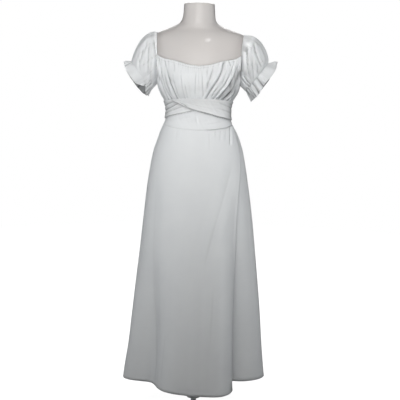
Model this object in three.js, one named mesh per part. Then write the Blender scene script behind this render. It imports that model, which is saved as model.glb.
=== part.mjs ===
// A white off-the-shoulder maxi dress on a limbless dress form with a pole and a three-legged base.
// Millimetres, +Z up. The front faces -Y and the wearer's left is +X.
// The origin is on the floor, under the middle of the neck.
//
// The cloth is built in layers round the figure. A place on the body is given by a turn and a
// height: turn 0 is the middle of the front, 90 the +X side, 180 the back, -90 the -X side.
import * as THREE from 'three';

// ---- Cloth ----
const CLOTH = 2.2; // wall of one layer
const SEAM_GAP = 0.4; // clear space between two pieces at a seam
const SIDE_SEAM = 90; // turn of the side seams

// ---- Figure: half width, and depth to the front and back, of the dress form ----
// middle is how far a section's middle stands off the origin in X, here and for the dress.
const FIGURE = [
  { z: 780, middle: 0, side: 166, front: 108, back: 112 },
  { z: 792, middle: 0, side: 169, front: 112, back: 116 },
  { z: 870, middle: 0, side: 166, front: 116, back: 124 },
  { z: 925, middle: 0, side: 160, front: 116, back: 124 },
  { z: 962, middle: 0, side: 153, front: 113, back: 119 },
  { z: 999, middle: 0, side: 143, front: 108, back: 111 },
  { z: 1028, middle: 0, side: 132, front: 102, back: 102 },
  { z: 1054, middle: 0, side: 120.5, front: 96.5, back: 94.5 },
  { z: 1077, middle: 0, side: 114.5, front: 94, back: 92 },
  { z: 1107, middle: 0, side: 112.5, front: 94, back: 91 },
  { z: 1128, middle: 0, side: 115.5, front: 98, back: 94 },
  { z: 1146, middle: 0, side: 123, front: 105, back: 97 },
  { z: 1172, middle: 0, side: 135.5, front: 120, back: 102 },
  { z: 1190, middle: 0, side: 142, front: 128, back: 105 },
  { z: 1204, middle: 0, side: 145.1, front: 132, back: 107 },
  { z: 1216, middle: 0, side: 147.8, front: 133, back: 108 },
  { z: 1233, middle: 0, side: 153, front: 132, back: 109 },
  { z: 1250, middle: 0, side: 160, front: 127, back: 110 },
  { z: 1272, middle: 0, side: 169, front: 119, back: 110 },
  { z: 1300, middle: 0, side: 178, front: 109, back: 107 },
  { z: 1322, middle: 0, side: 180, front: 101, back: 102 },
  { z: 1345, middle: 0, side: 178, front: 92, back: 95 },
  { z: 1364, middle: 0, side: 172, front: 83, back: 88 },
  { z: 1380, middle: 0, side: 157, front: 74, back: 80 },
  { z: 1399, middle: -4, side: 112, front: 62, back: 69 },
  { z: 1410, middle: -5, side: 86, front: 58, back: 65 },
  { z: 1420, middle: -4, side: 69, front: 55, back: 62 },
  { z: 1434, middle: -3, side: 60.5, front: 53, back: 60 },
  { z: 1452, middle: -2, side: 57.5, front: 51, back: 58 },
  { z: 1489, middle: -2, side: 55, front: 48, back: 56 },
];

// ---- Outer face of the dress, without its folds; corner 1 is an ellipse, more is pointed ----
const DRESS = [
  { z: 78, middle: 0, side: 271, front: 192, back: 200, corner: 1.2 },
  { z: 117, middle: 0, side: 267, front: 189, back: 197, corner: 1.19 },
  { z: 236, middle: 3, side: 252, front: 181, back: 188, corner: 1.16 },
  { z: 354, middle: 4.5, side: 241, front: 174, back: 181, corner: 1.13 },
  { z: 471, middle: 5, side: 229, front: 166, back: 174, corner: 1.1 },
  { z: 586, middle: 5.4, side: 216.2, front: 158, back: 166, corner: 1.07 },
  { z: 700, middle: 5, side: 203.7, front: 150, back: 157, corner: 1.04 },
  { z: 775, middle: 4.1, side: 194.8, front: 144, back: 151, corner: 1.02 },
  { z: 850, middle: 2.8, side: 184.7, front: 138, back: 144, corner: 1.01 },
  { z: 925, middle: 2.4, side: 172, front: 130, back: 136, corner: 1 },
  { z: 962, middle: 2.4, side: 164, front: 124, back: 129, corner: 1 },
  { z: 999, middle: 3, side: 152, front: 117.5, back: 120, corner: 1 },
  { z: 1028, middle: 1.8, side: 141, front: 110.5, back: 111, corner: 1 },
  { z: 1054, middle: 0, side: 128.4, front: 104.4, back: 102.4, corner: 1 },
  { z: 1077, middle: 0, side: 119.2, front: 99.4, back: 97.4, corner: 1 },
  { z: 1107, middle: 0, side: 116.9, front: 98.4, back: 95.4, corner: 1 },
  { z: 1128, middle: 0, side: 119.9, front: 102.4, back: 98.4, corner: 1 },
  { z: 1146, middle: 0, side: 127.4, front: 109.4, back: 101.4, corner: 1 },
  { z: 1172, middle: 0, side: 139.9, front: 124.4, back: 106.4, corner: 1 },
  { z: 1190, middle: 0, side: 146.4, front: 132.4, back: 109.4, corner: 1 },
  { z: 1204, middle: 0, side: 149.5, front: 136.4, back: 111.4, corner: 1 },
  { z: 1216, middle: 0, side: 152.2, front: 137.4, back: 112.4, corner: 1 },
  { z: 1233, middle: 0, side: 157.4, front: 136.4, back: 113.4, corner: 1 },
  { z: 1250, middle: 0, side: 164.4, front: 131.4, back: 114.4, corner: 1 },
  { z: 1272, middle: 0, side: 173.4, front: 123.4, back: 114.4, corner: 1 },
  { z: 1300, middle: 0, side: 182.4, front: 113.4, back: 111.4, corner: 1 },
  { z: 1322, middle: 0, side: 184.4, front: 105.4, back: 106.4, corner: 1 },
];

// ---- Heights where the cloth pieces meet ----
const UNDERBUST = { side: 1138, frontRise: 11 };
const WAIST_SEAM = { side: 1058, frontDrop: 18 };
const NECKLINE = [
  { x: 0, z: 1265.5 },
  { x: 35, z: 1270 },
  { x: 65, z: 1278.5 },
  { x: 87, z: 1284.5 },
  { x: 104, z: 1287.5 },
  { x: 119, z: 1290.5 },
  { x: 133, z: 1295.5 },
  { x: 143, z: 1301.5 },
  { x: 149.5, z: 1305 },
];
const BACK_NECK = { middle: 1298, corner: 1305 };
const CUP = { turn: 27, spread: 17, z: 1222, height: 34, fullness: 7 };

// ---- Bodice gathers: each runs from its foot at the underbust seam to its head ----
// foot and head are distances from the middle; low and high are its depths there.
const GATHERS = [
  { foot: -124.9, head: -149.5, low: 0, high: 0 },
  { foot: -122.6, head: -148, low: 3, high: 3 },
  { foot: -118, head: -146, low: 5, high: 4 },
  { foot: -111, head: -143, low: 6, high: 5 },
  { foot: -102, head: -138, low: 7, high: 5 },
  { foot: -92, head: -131, low: 7, high: 4 },
  { foot: -82, head: -121, low: 5, high: 3 },
  { foot: -71, head: -107, low: 4, high: 3 },
  { foot: -60, head: -90, low: 6, high: 2 },
  { foot: -48, head: -72, low: 4, high: 3 },
  { foot: -36, head: -54, low: 3, high: 3 },
  { foot: -24, head: -36, low: 3, high: 2 },
  { foot: -12, head: -18, low: 2, high: 2 },
  { foot: 0, head: 1, low: 2, high: 2 },
  { foot: 12, head: 23, low: 3, high: 2 },
  { foot: 23, head: 52, low: 4, high: 3 },
  { foot: 33, head: 86, low: 7, high: 3 },
  { foot: 46, head: 102, low: 4, high: 4 },
  { foot: 58, head: 114, low: 5, high: 4 },
  { foot: 69, head: 124, low: 8, high: 5 },
  { foot: 80, head: 132, low: 8, high: 6 },
  { foot: 91, head: 138, low: 7, high: 6 },
  { foot: 102, head: 142, low: 7, high: 5 },
  { foot: 112, head: 145, low: 6, high: 4 },
  { foot: 119, head: 147, low: 4, high: 3 },
  { foot: 123, head: 148.5, low: 3, high: 2 },
  { foot: 124.9, head: 149.5, low: 0, high: 0 },
];
const GATHER_COLUMNS = 3;
const GATHER_BOW = 0.8; // below 1 the gathers bow outwards
const GATHER_FULLNESS = 0.6;
const BACK_GATHERS = { count: 14, depth: 2.4 };

// ---- Armholes and sleeves, for the +X side ----
const ARMHOLE = { x: 149.5, cornerAt: 0.46, arch: 0.87 };
const CUFF = { x: 208, y: -4, z: 1230.5, long: 61.5, deep: 47, slope: 53.6 };
const SLEEVES = [
  { name: 'left', side: 1, gathers: 13, turn: 20, waves: 8, wave: 4, waveTurn: 15 },
  { name: 'right', side: -1, gathers: 13, turn: 65, waves: 8, wave: 3, waveTurn: 60 },
];
// How full each sleeve is; early draws the fullest part towards the shoulder.
const PUFFS = {
  left: { topX: 160, topZ: 1382, mean: 22.5, top: 20.5, front: 6, lean: 1, early: 0.5, ends: 0.6 },
  right: { topX: 152.5, topZ: 1386, mean: 13, top: 12, front: 2.5, lean: 0.16, early: 0.8, ends: 0.98 },
};
// Length and flare of each frill round the cuff; angle 0 is the top and 90 the front.
const FRILLS = {
  left: [
    { angle: -180, length: 40, flare: 15 },
    { angle: -120, length: 38, flare: 10 },
    { angle: -60, length: 34, flare: 12 },
    { angle: 0, length: 24, flare: 31 },
    { angle: 30, length: 35, flare: 20 },
    { angle: 60, length: 42, flare: 9 },
    { angle: 100, length: 42, flare: 7 },
    { angle: 135, length: 43, flare: 9 },
    { angle: 180, length: 40, flare: 15 },
  ],
  right: [
    { angle: -180, length: 22, flare: 13 },
    { angle: -135, length: 37, flare: 10 },
    { angle: -97, length: 42, flare: 9 },
    { angle: -60, length: 40, flare: 8 },
    { angle: -30, length: 32, flare: 9 },
    { angle: 0, length: 23, flare: 13 },
    { angle: 30, length: 30, flare: 8 },
    { angle: 60, length: 33, flare: 3 },
    { angle: 90, length: 33, flare: 1 },
    { angle: 107, length: 28, flare: 1 },
    { angle: 120, length: 18, flare: 3 },
    { angle: 135, length: 19, flare: 6 },
    { angle: 155, length: 23, flare: 9 },
    { angle: 180, length: 22, flare: 13 },
  ],
};
const SLEEVE_GATHER = { armhole: 1.2, middle: 3, cuff: 1.6 };

// ---- Sash: edges of each wound stretch, and its lift off the dress, by turn ----
const SASH_OVER = [
  { turn: -46, top: 1147, low: 1142.5, lift: 5.4 },
  { turn: -38, top: 1149, low: 1136, lift: 5.4 },
  { turn: -14, top: 1151.5, low: 1116, lift: 5.4 },
  { turn: 20, top: 1151, low: 1097, lift: 5.4 },
  { turn: 41, top: 1147, low: 1086, lift: 5.2 },
  { turn: 90, top: 1140, low: 1073, lift: 1.6 },
  { turn: 135, top: 1136, low: 1075, lift: 1.6 },
  { turn: 167, top: 1126, low: 1084, lift: 1.6 },
];
const SASH_UNDER = [
  { turn: -167, top: 1126, low: 1084, lift: 1.6 },
  { turn: -135, top: 1136, low: 1077, lift: 1.6 },
  { turn: -90, top: 1140, low: 1076, lift: 1.6 },
  { turn: -57, top: 1144.5, low: 1088, lift: 1.6 },
  { turn: -32, top: 1149.5, low: 1098, lift: 1.6 },
  { turn: -10, top: 1151.5, low: 1109, lift: 1.6 },
  { turn: 12, top: 1151.5, low: 1122, lift: 1.6 },
  { turn: 36, top: 1149, low: 1143, lift: 1.6 },
];
const SASH = { folds: 3, foldDepth: 1.2 };
const KNOT = { z: 1105, wide: 21, high: 30, thick: 15, seat: 1 };
const TAIL = { length: 330, topHalf: 12, endHalf: 26, apart: 13, spread: 21, lift: 1.4, fold: 2.5 };

// ---- Skirt ----
const HEM = { front: 92, side: 102, under: 99, back: 95 };
const FRONT_HEM = [
  { turn: -90, z: 102 },
  { turn: -60, z: 99 },
  { turn: -35, z: 94 },
  { turn: -15, z: 88 },
  { turn: 5, z: 85 },
  { turn: 30, z: 83 },
  { turn: 40, z: 84 },
  { turn: 52, z: 90 },
];
const FREE_EDGE = [
  { z: 80, x: 149 },
  { z: 224, x: 151.5 },
  { z: 560, x: 152 },
  { z: 711, x: 150.5 },
  { z: 800, x: 152 },
  { z: 871, x: 156 },
  { z: 928, x: 157 },
  { z: 978, x: 149 },
  { z: 1029, x: 134 },
  { z: 1056, x: 125 },
];
// Each fold swings the cloth out (or in, below zero) by its depth at the hem.
const SKIRT_FOLDS = [
  { turn: -75, spread: 9, depth: 6, from: 560 },
  { turn: -49, spread: 13, depth: -46, from: 640 },
  { turn: -22, spread: 10, depth: 5, from: 420 },
  { turn: 24, spread: 9, depth: 13, from: 980 },
  { turn: 44, spread: 8, depth: -34, from: 900 },
  { turn: 112, spread: 9, depth: 9, from: 700 },
  { turn: 128, spread: 8, depth: -20, from: 800 },
  { turn: 146, spread: 9, depth: 10, from: 820 },
  { turn: 164, spread: 8, depth: -16, from: 700 },
  { turn: 182, spread: 9, depth: 11, from: 860 },
  { turn: 201, spread: 8, depth: -18, from: 760 },
  { turn: 219, spread: 9, depth: 10, from: 800 },
  { turn: 237, spread: 8, depth: -20, from: 720 },
  { turn: 252, spread: 8, depth: 8, from: 620 },
];
const SKIRT_ROWS = { count: 10, closer: 1.9 };
const UNDER_PANEL = { from: 8, clear: 1.2, looser: 4, recess: 46, start: 930, turn: 48, spread: 24 };

// ---- Stand ----
const BASE = { hub: 26, leg: 150, halfWidth: 10, height: 14, legs: [-90, 30, 150] };
const STAND_Y = 34; // the stand is set a little behind the middle
const POLE = { radius: 14 };
const STAND_GAP = 0.4;

const COLOURS = {
  cloth: { color: 0xe9ebea, roughness: 0.85, metalness: 0 },
  sash: { color: 0xe6e9e8, roughness: 0.85, metalness: 0 },
  form: { color: 0xdcd7d4, roughness: 0.42, metalness: 0 },
  steel: { color: 0xf0f0ee, roughness: 0.4, metalness: 0.1 },
};

const radians = (angle) => (angle * Math.PI) / 180;
const degrees = (angle) => (angle * 180) / Math.PI;
const mix = (a, b, s) => a + (b - a) * s;
const clamp01 = (s) => Math.min(1, Math.max(0, s));
const ease = (s) => clamp01(s) ** 2 * (3 - 2 * clamp01(s));
const bump = (distance, spread) => Math.exp(-((distance / spread) ** 2));
const signedPower = (value, power) => Math.sign(value) * Math.abs(value) ** power;

/** A smooth curve through one column of a table, which never overshoots its rows. */
function column(rows, along, name) {
  const at = rows.map((row) => row[along]);
  const value = rows.map((row) => row[name]);
  const slope = at.slice(1).map((next, i) => (value[i + 1] - value[i]) / (next - at[i]));
  const tangent = at.map((_, i) => {
    if (i === 0) return slope[0];
    if (i === at.length - 1) return slope[i - 1];
    if (slope[i - 1] * slope[i] <= 0) return 0;
    return 2 / (1 / slope[i - 1] + 1 / slope[i]);
  });
  return (where) => {
    let i = 0;
    while (i < at.length - 2 && where > at[i + 1]) i += 1;
    const span = at[i + 1] - at[i];
    const s = clamp01((where - at[i]) / span);
    const rise = value[i + 1] - value[i];
    const start = span * tangent[i];
    const end = span * tangent[i + 1];
    return value[i] + s * (start + s * (3 * rise - 2 * start - end + s * (start + end - 2 * rise)));
  };
}

/** All the numeric columns of a table as curves. */
function curves(rows, along) {
  const names = Object.keys(rows[0]).filter((name) => name !== along);
  return Object.fromEntries(names.map((name) => [name, column(rows, along, name)]));
}

const figure = curves(FIGURE, 'z');
const dress = curves(DRESS, 'z');
const freeEdge = curves(FREE_EDGE, 'z');
const neckHeight = column(NECKLINE, 'x', 'z');
const frontHem = column(FRONT_HEM, 'turn', 'z');

/** A point of a body section at a turn and height, moved out by a lift. */
function sectionPoint(section, turn, z, lift) {
  const angle = radians(turn);
  const depth = Math.cos(angle) >= 0 ? section.front(z) : section.back(z);
  const corner = section.corner ? section.corner(z) : 1;
  return new THREE.Vector3(
    section.middle(z) + (section.side(z) + lift) * signedPower(Math.sin(angle), corner),
    -(depth + lift) * signedPower(Math.cos(angle), corner),
    z,
  );
}

const dressPoint = (turn, z, lift) => sectionPoint(dress, turn, z, lift);

/** Joins a closed list of points and triangles into a solid with its faces outwards. */
function solid(points, triangles) {
  let volume = 0;
  for (const [a, b, c] of triangles) {
    volume += points[a].dot(points[b].clone().cross(points[c]));
  }
  const index = triangles.flatMap(([a, b, c]) => (volume > 0 ? [a, b, c] : [a, c, b]));
  const geometry = new THREE.BufferGeometry();
  const position = points.flatMap((point) => point.toArray());
  geometry.setAttribute('position', new THREE.Float32BufferAttribute(position, 3));
  geometry.setIndex(index);
  geometry.computeVertexNormals();
  return geometry;
}

/**
 * A wall of cloth. face(across, up, depth) gives a point of the wall at two fractions from 0 to 1,
 * at a depth below the outer face. A tube joins its last column to its first.
 */
function clothWall(columns, rows, face, tube = false) {
  const points = [];
  const triangles = [];
  const stride = tube ? columns : columns + 1;
  for (const depth of [0, CLOTH]) {
    for (let j = 0; j <= rows; j += 1) {
      for (let i = 0; i < stride; i += 1) points.push(face(i / columns, j / rows, depth));
    }
  }
  const layer = stride * (rows + 1);
  const at = (i, j, side) => side * layer + j * stride + (i % stride);
  const quad = (a, b, c, d) => triangles.push([a, b, c], [a, c, d]);
  for (let j = 0; j < rows; j += 1) {
    for (let i = 0; i < columns; i += 1) {
      quad(at(i, j, 0), at(i + 1, j, 0), at(i + 1, j + 1, 0), at(i, j + 1, 0));
      quad(at(i, j, 1), at(i, j + 1, 1), at(i + 1, j + 1, 1), at(i + 1, j, 1));
    }
    if (tube) continue;
    quad(at(0, j, 0), at(0, j + 1, 0), at(0, j + 1, 1), at(0, j, 1));
    quad(at(columns, j, 0), at(columns, j, 1), at(columns, j + 1, 1), at(columns, j + 1, 0));
  }
  for (let i = 0; i < columns; i += 1) {
    quad(at(i, 0, 0), at(i, 0, 1), at(i + 1, 0, 1), at(i + 1, 0, 0));
    quad(at(i, rows, 0), at(i + 1, rows, 0), at(i + 1, rows, 1), at(i, rows, 1));
  }
  return solid(points, triangles);
}

/** A closed solid through rings, with a flat or pointed fan over each end. */
function ringSolid(rings) {
  const points = rings.flat();
  const count = rings[0].length;
  const triangles = [];
  for (let j = 0; j < rings.length - 1; j += 1) {
    for (let i = 0; i < count; i += 1) {
      const next = (i + 1) % count;
      const [a, b] = [j * count + i, j * count + next];
      triangles.push([a, b, b + count], [a, b + count, a + count]);
    }
  }
  for (const j of [0, rings.length - 1]) {
    const middle = new THREE.Vector3();
    rings[j].forEach((point) => middle.addScaledVector(point, 1 / count));
    const hub = points.push(middle) - 1;
    for (let i = 0; i < count; i += 1) {
      const next = (i + 1) % count;
      const [a, b] = j === 0 ? [next, i] : [i, next];
      triangles.push([hub, j * count + a, j * count + b]);
    }
  }
  return solid(points, triangles);
}

// ---- Heights of the seams at a turn ----
const frontShare = (turn) => Math.max(0, Math.cos(radians(turn)));

function underbustHeight(turn) {
  return UNDERBUST.side + UNDERBUST.frontRise * frontShare(turn) ** 1.2;
}

function waistHeight(turn) {
  return WAIST_SEAM.side - WAIST_SEAM.frontDrop * frontShare(turn) ** 1.4;
}

/** The turn, from the middle of a panel, where the bodice ends at its side seam or armhole. */
function bodiceEdge(z) {
  const reach = ARMHOLE.x / dress.side(z);
  return degrees(Math.asin(Math.min(1, reach)));
}

/** Moves a turn off the side seam by half the seam gap. */
function offSeam(turn, z) {
  const gap = degrees(SEAM_GAP / 2 / dress.front(z));
  return Math.sign(turn) * Math.min(Math.abs(turn), SIDE_SEAM - gap);
}

// ---- Bodice ----
const gatherHead = column(GATHERS, 'foot', 'head');
const gatherLow = column(GATHERS, 'foot', 'low');
const gatherHigh = column(GATHERS, 'foot', 'high');

/** The bodice front: a gathered panel whose folds fan from the underbust seam to the neckline. */
function bodiceFront() {
  const columns = (GATHERS.length - 1) * GATHER_COLUMNS;
  const widest = GATHERS[GATHERS.length - 1];
  return clothWall(columns, 8, (across, up, depth) => {
    const place = across * (GATHERS.length - 1);
    const k = Math.min(GATHERS.length - 2, Math.floor(place));
    const foot = mix(GATHERS[k].foot, GATHERS[k + 1].foot, place - k);
    const share = mix(foot / widest.foot, gatherHead(foot) / widest.head, up ** GATHER_BOW);
    const top = neckHeight(Math.abs(gatherHead(foot)));
    const footTurn = degrees(Math.asin(foot / widest.foot));
    const z = mix(underbustHeight(footTurn) + SEAM_GAP, top, up);
    const reach = share * Math.min(1, ARMHOLE.x / dress.side(z));
    const turn = offSeam(degrees(Math.asin(reach)), z);
    const edgeFade = ease((1 - Math.abs(share)) / 0.03);
    const pinch = ease(up / 0.12) * ease((1 - up) / 0.08) * edgeFade;
    const ridge = 0.5 - 0.5 * Math.cos(2 * Math.PI * place);
    const strength = mix(gatherLow(foot), gatherHigh(foot), up);
    const cup = CUP.fullness * bump(Math.abs(turn) - CUP.turn, CUP.spread) * bump(z - CUP.z, CUP.height);
    return dressPoint(turn, z, cup * edgeFade + ridge * strength * GATHER_FULLNESS * pinch - depth);
  });
}

/** The bodice back: a plain panel drawn up lightly along its top edge. */
function bodiceBack() {
  const columns = BACK_GATHERS.count * 2;
  return clothWall(columns, 6, (across, up, depth) => {
    const share = mix(-1, 1, across);
    const top = mix(BACK_NECK.middle, BACK_NECK.corner, share ** 2);
    const bottom = UNDERBUST.side + SEAM_GAP;
    const z = mix(bottom, top, up);
    const turn = offSeam(share * bodiceEdge(z), z);
    const edgeFade = ease((1 - Math.abs(share)) / 0.1);
    const ridge = 0.5 - 0.5 * Math.cos(2 * Math.PI * share * BACK_GATHERS.count * 0.5);
    const lift = ridge * BACK_GATHERS.depth * edgeFade * (0.35 + 0.65 * up) * ease(up / 0.2);
    return dressPoint(180 - turn, z, lift - depth);
  });
}

// ---- Midriff ----
function midriff(centreTurn) {
  return clothWall(20, 5, (across, up, depth) => {
    const fromMiddle = mix(-SIDE_SEAM, SIDE_SEAM, across);
    const turn = centreTurn + offSeam(fromMiddle, UNDERBUST.side);
    const z = mix(waistHeight(turn) + SEAM_GAP / 2, underbustHeight(turn) - SEAM_GAP / 2, up);
    return dressPoint(turn, z, -depth);
  });
}

// ---- Sleeves ----
const cuffAlong = new THREE.Vector3(Math.cos(radians(CUFF.slope)), 0, Math.sin(radians(CUFF.slope)));
const cuffAxis = new THREE.Vector3(Math.sin(radians(CUFF.slope)), 0, -Math.cos(radians(CUFF.slope)));
const cuffMiddle = new THREE.Vector3(CUFF.x, CUFF.y, CUFF.z);
const armholeMiddle = new THREE.Vector3(ARMHOLE.x, 0, 1294);
const UNDERARM_Z = 1204;

/** A point of the armhole ring: angle 0 is the top, 90 the front, 180 the underarm. */
function armholePoint(angle, puff) {
  const around = ((((angle + 180) % 360) + 360) % 360) - 180;
  const down = Math.abs(around) / 180;
  const facing = around >= 0 ? -1 : 1;
  const depth = facing < 0 ? dress.front : dress.back;
  const seamDepth = (z) => {
    const reach = Math.min(1, ARMHOLE.x / dress.side(z));
    return depth(z) * Math.sqrt(1 - reach ** 2);
  };
  if (down < ARMHOLE.cornerAt) {
    const arc = (down / ARMHOLE.cornerAt) * (Math.PI / 2);
    const y = seamDepth(BACK_NECK.corner) * Math.sin(arc) ** ARMHOLE.arch;
    const z = mix(BACK_NECK.corner, puff.topZ, Math.cos(arc) ** ARMHOLE.arch);
    const x = mix(puff.topX, ARMHOLE.x + SEAM_GAP, ease(down / ARMHOLE.cornerAt));
    return new THREE.Vector3(x, facing * y, z);
  }
  const below = (down - ARMHOLE.cornerAt) / (1 - ARMHOLE.cornerAt);
  const z = mix(UNDERARM_Z, BACK_NECK.corner, (1 - below) ** 1.6);
  return new THREE.Vector3(ARMHOLE.x + SEAM_GAP, facing * seamDepth(z), z);
}

/** A point of the cuff ring at the same angles. */
function cuffPoint(angle) {
  const up = Math.cos(radians(angle)) * CUFF.long;
  const forward = Math.sin(radians(angle)) * CUFF.deep;
  return cuffMiddle.clone().addScaledVector(cuffAlong, up).add(new THREE.Vector3(0, -forward, 0));
}

const mirrored = (point, side) => new THREE.Vector3(point.x * side, point.y, point.z);

/** A puff sleeve: gathered at the armhole and at the cuff, and full between them. */
function sleeve(row) {
  const puff = PUFFS[row.name];
  return clothWall(row.gathers * 3, 6, (across, up, depth) => {
    const angle = across * 360;
    const cosine = Math.cos(radians(angle));
    const chord = armholePoint(angle, puff).lerp(cuffPoint(angle), up);
    const middle = armholeMiddle.clone().lerp(cuffMiddle, up);
    const radial = chord.clone().sub(middle).normalize();
    const lean = puff.lean * (1 + cosine);
    const out = radial.clone().addScaledVector(cuffAxis, lean).normalize();
    const fullness = puff.mean + puff.top * cosine + puff.front * Math.sin(radians(angle)) ** 2;
    const swell = Math.sin(Math.PI * up ** puff.early) ** puff.ends;
    const wave = 0.5 - 0.5 * Math.cos(radians(angle * row.gathers + row.turn));
    const { armhole, middle: mid, cuff } = SLEEVE_GATHER;
    const gather = mix(armhole, cuff, up) + (mid - mix(armhole, cuff, up)) * swell;
    const shrink = 0.35 + 0.65 * fullness / (puff.mean + puff.top);
    chord.addScaledVector(out, swell * fullness);
    chord.addScaledVector(radial, wave * gather * shrink - depth);
    return mirrored(chord, row.side);
  }, true);
}

/** The frill below a cuff: it flares and waves towards its edge. */
function frill(row) {
  const edge = curves(FRILLS[row.name], 'angle');
  return clothWall(row.waves * 5, 3, (across, up, depth) => {
    const angle = across * 360;
    const around = angle > 180 ? angle - 360 : angle;
    const start = cuffPoint(angle);
    const radial = start.clone().sub(cuffMiddle).normalize();
    const wave = Math.cos(radians(angle * row.waves + row.waveTurn)) * row.wave * up ** 0.8;
    start.addScaledVector(cuffAxis, SEAM_GAP + edge.length(around) * up);
    start.addScaledVector(radial, edge.flare(around) * up + wave - depth);
    return mirrored(start, row.side);
  }, true);
}

// ---- Sash ----
/** One wound stretch of the sash, with soft folds along its length. */
function sashStretch(rows, columns) {
  const edge = curves(rows, 'turn');
  const first = rows[0].turn;
  const last = rows[rows.length - 1].turn;
  return clothWall(columns, 6, (across, up, depth) => {
    const turn = mix(first, last, across);
    const z = mix(edge.low(turn), edge.top(turn), up);
    const width = edge.top(turn) - edge.low(turn);
    const ridge = 0.5 - 0.5 * Math.cos(2 * Math.PI * SASH.folds * up);
    const fold = ridge * SASH.foldDepth * ease(width / 45);
    return dressPoint(turn, z, edge.lift(turn) + CLOTH + fold - depth);
  });
}

/** The knot behind the waist: a soft rounded lump with a groove where the ends cross. */
function sashKnot() {
  const around = 16;
  const seatY = dress.back(KNOT.z) + KNOT.seat;
  const rings = [-0.92, -0.55, 0, 0.55, 0.92].map((level) => {
    const girth = Math.sqrt(1 - level ** 2);
    return Array.from({ length: around }, (_, i) => {
      const angle = (i / around) * 2 * Math.PI;
      const groove = 1 - 0.12 * bump(Math.sin(angle) - level * 0.6, 0.35);
      return new THREE.Vector3(
        KNOT.wide * girth * Math.cos(angle),
        seatY + KNOT.thick / 2 + 2 + (KNOT.thick / 2) * girth * Math.sin(angle) * groove,
        KNOT.z + KNOT.high * 0.8 * level,
      );
    });
  });
  return ringSolid(rings);
}

/** A loose end of the sash, hanging from the knot over the back of the skirt. */
function sashTail(side) {
  const top = KNOT.z - KNOT.high * 0.8 - 1;
  return clothWall(6, 11, (across, up, depth) => {
    const z = mix(top - TAIL.length, top, up);
    const middle = side * mix(TAIL.apart + TAIL.spread, TAIL.apart, up);
    const half = mix(TAIL.endHalf, TAIL.topHalf, up ** 1.5) * (side === 1 ? 1 : 0.94);
    const x = middle + mix(-half, half, across) * 0.98;
    const turn = 180 - degrees(Math.asin(x / dress.side(z)));
    const fold = TAIL.fold * (0.5 - 0.5 * Math.cos(4 * Math.PI * across));
    const below = z < WAIST_SEAM.side + 12 ? skirtSwing(turn, z) : 0;
    return dressPoint(turn, z, Math.max(0, below) + TAIL.lift + CLOTH + fold - depth);
  });
}

// ---- Skirt ----
/** How far the folds swing the skirt out at a turn and height. */
function skirtSwing(turn, z) {
  const hem = HEM.front;
  return SKIRT_FOLDS.reduce((sum, fold) => {
    const apart = ((((turn - fold.turn + 180) % 360) + 360) % 360) - 180;
    const grown = clamp01((fold.from - z) / (fold.from - hem));
    return sum + fold.depth * bump(apart, fold.spread) * ease(grown) ** 0.8;
  }, 0);
}

/** The turn of the front panel's free edge at a height. */
function freeEdgeTurn(z) {
  const share = (freeEdge.x(z) - dress.middle(z)) / dress.side(z);
  const reach = Math.min(0.998, share) ** (1 / dress.corner(z));
  return degrees(Math.asin(reach));
}

/** Rows of a skirt panel lie closer together over the hips. */
const skirtRow = (up) => 1 - (1 - up) ** SKIRT_ROWS.closer;

const backHem = (turn) => mix(HEM.back, HEM.side, Math.sin(radians(turn)) ** 2);

/** The wrapped front panel, from the -X side seam to its free edge. */
function skirtFront() {
  return clothWall(28, SKIRT_ROWS.count, (across, up, depth) => {
    let turn = mix(-SIDE_SEAM, freeEdgeTurn(mix(HEM.front, WAIST_SEAM.side, up)), across);
    let z = 0;
    for (let pass = 0; pass < 4; pass += 1) {
      z = mix(frontHem(turn), waistHeight(turn) - SEAM_GAP / 2, skirtRow(up));
      turn = mix(-SIDE_SEAM, freeEdgeTurn(z), across);
    }
    turn = offSeam(turn, z);
    return dressPoint(turn, z, skirtSwing(turn, z) - depth);
  });
}

/** The panel under the wrap, from behind the front panel to the +X side seam. */
function skirtUnder() {
  return clothWall(15, SKIRT_ROWS.count, (across, up, depth) => {
    const flatTurn = mix(UNDER_PANEL.from, SIDE_SEAM, across);
    const hem = mix(HEM.under, HEM.side, ease((flatTurn - 60) / 30));
    const z = mix(hem, waistHeight(flatTurn) - SEAM_GAP / 2, skirtRow(up));
    const turn = offSeam(flatTurn, z);
    const edge = freeEdgeTurn(z) + 1.5;
    const behind = ease((SIDE_SEAM - flatTurn) / (SIDE_SEAM - edge));
    const fall = ease((UNDER_PANEL.start - z) / (UNDER_PANEL.start - HEM.under));
    const recess = UNDER_PANEL.recess * fall * bump(flatTurn - UNDER_PANEL.turn, UNDER_PANEL.spread);
    const clear = UNDER_PANEL.clear + UNDER_PANEL.looser * ease((1040 - z) / 120);
    const tuck = (CLOTH + clear + recess) * behind;
    return dressPoint(turn, z, skirtSwing(turn, z) - tuck - depth);
  });
}

/** The back panel, from side seam to side seam. */
function skirtBack() {
  return clothWall(28, SKIRT_ROWS.count, (across, up, depth) => {
    const fromMiddle = mix(SIDE_SEAM, -SIDE_SEAM, across);
    const topZ = waistHeight(180) - SEAM_GAP / 2;
    const z = mix(backHem(fromMiddle), topZ, skirtRow(up));
    const turn = 180 + offSeam(fromMiddle, z);
    return dressPoint(turn, z, skirtSwing(turn, z) - depth);
  });
}

// ---- Form and stand ----
function formTorso() {
  const around = 24;
  const ring = (row) =>
    Array.from({ length: around }, (_, i) => sectionPoint(figure, (i / around) * 360, row.z, 0));
  return ringSolid(FIGURE.map(ring));
}

function standPole() {
  const bottom = BASE.height + STAND_GAP;
  const top = FIGURE[0].z - STAND_GAP;
  const geometry = new THREE.CylinderGeometry(POLE.radius, POLE.radius, top - bottom, 24);
  geometry.rotateX(Math.PI / 2);
  geometry.translate(0, STAND_Y, (top + bottom) / 2);
  return geometry;
}

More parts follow.
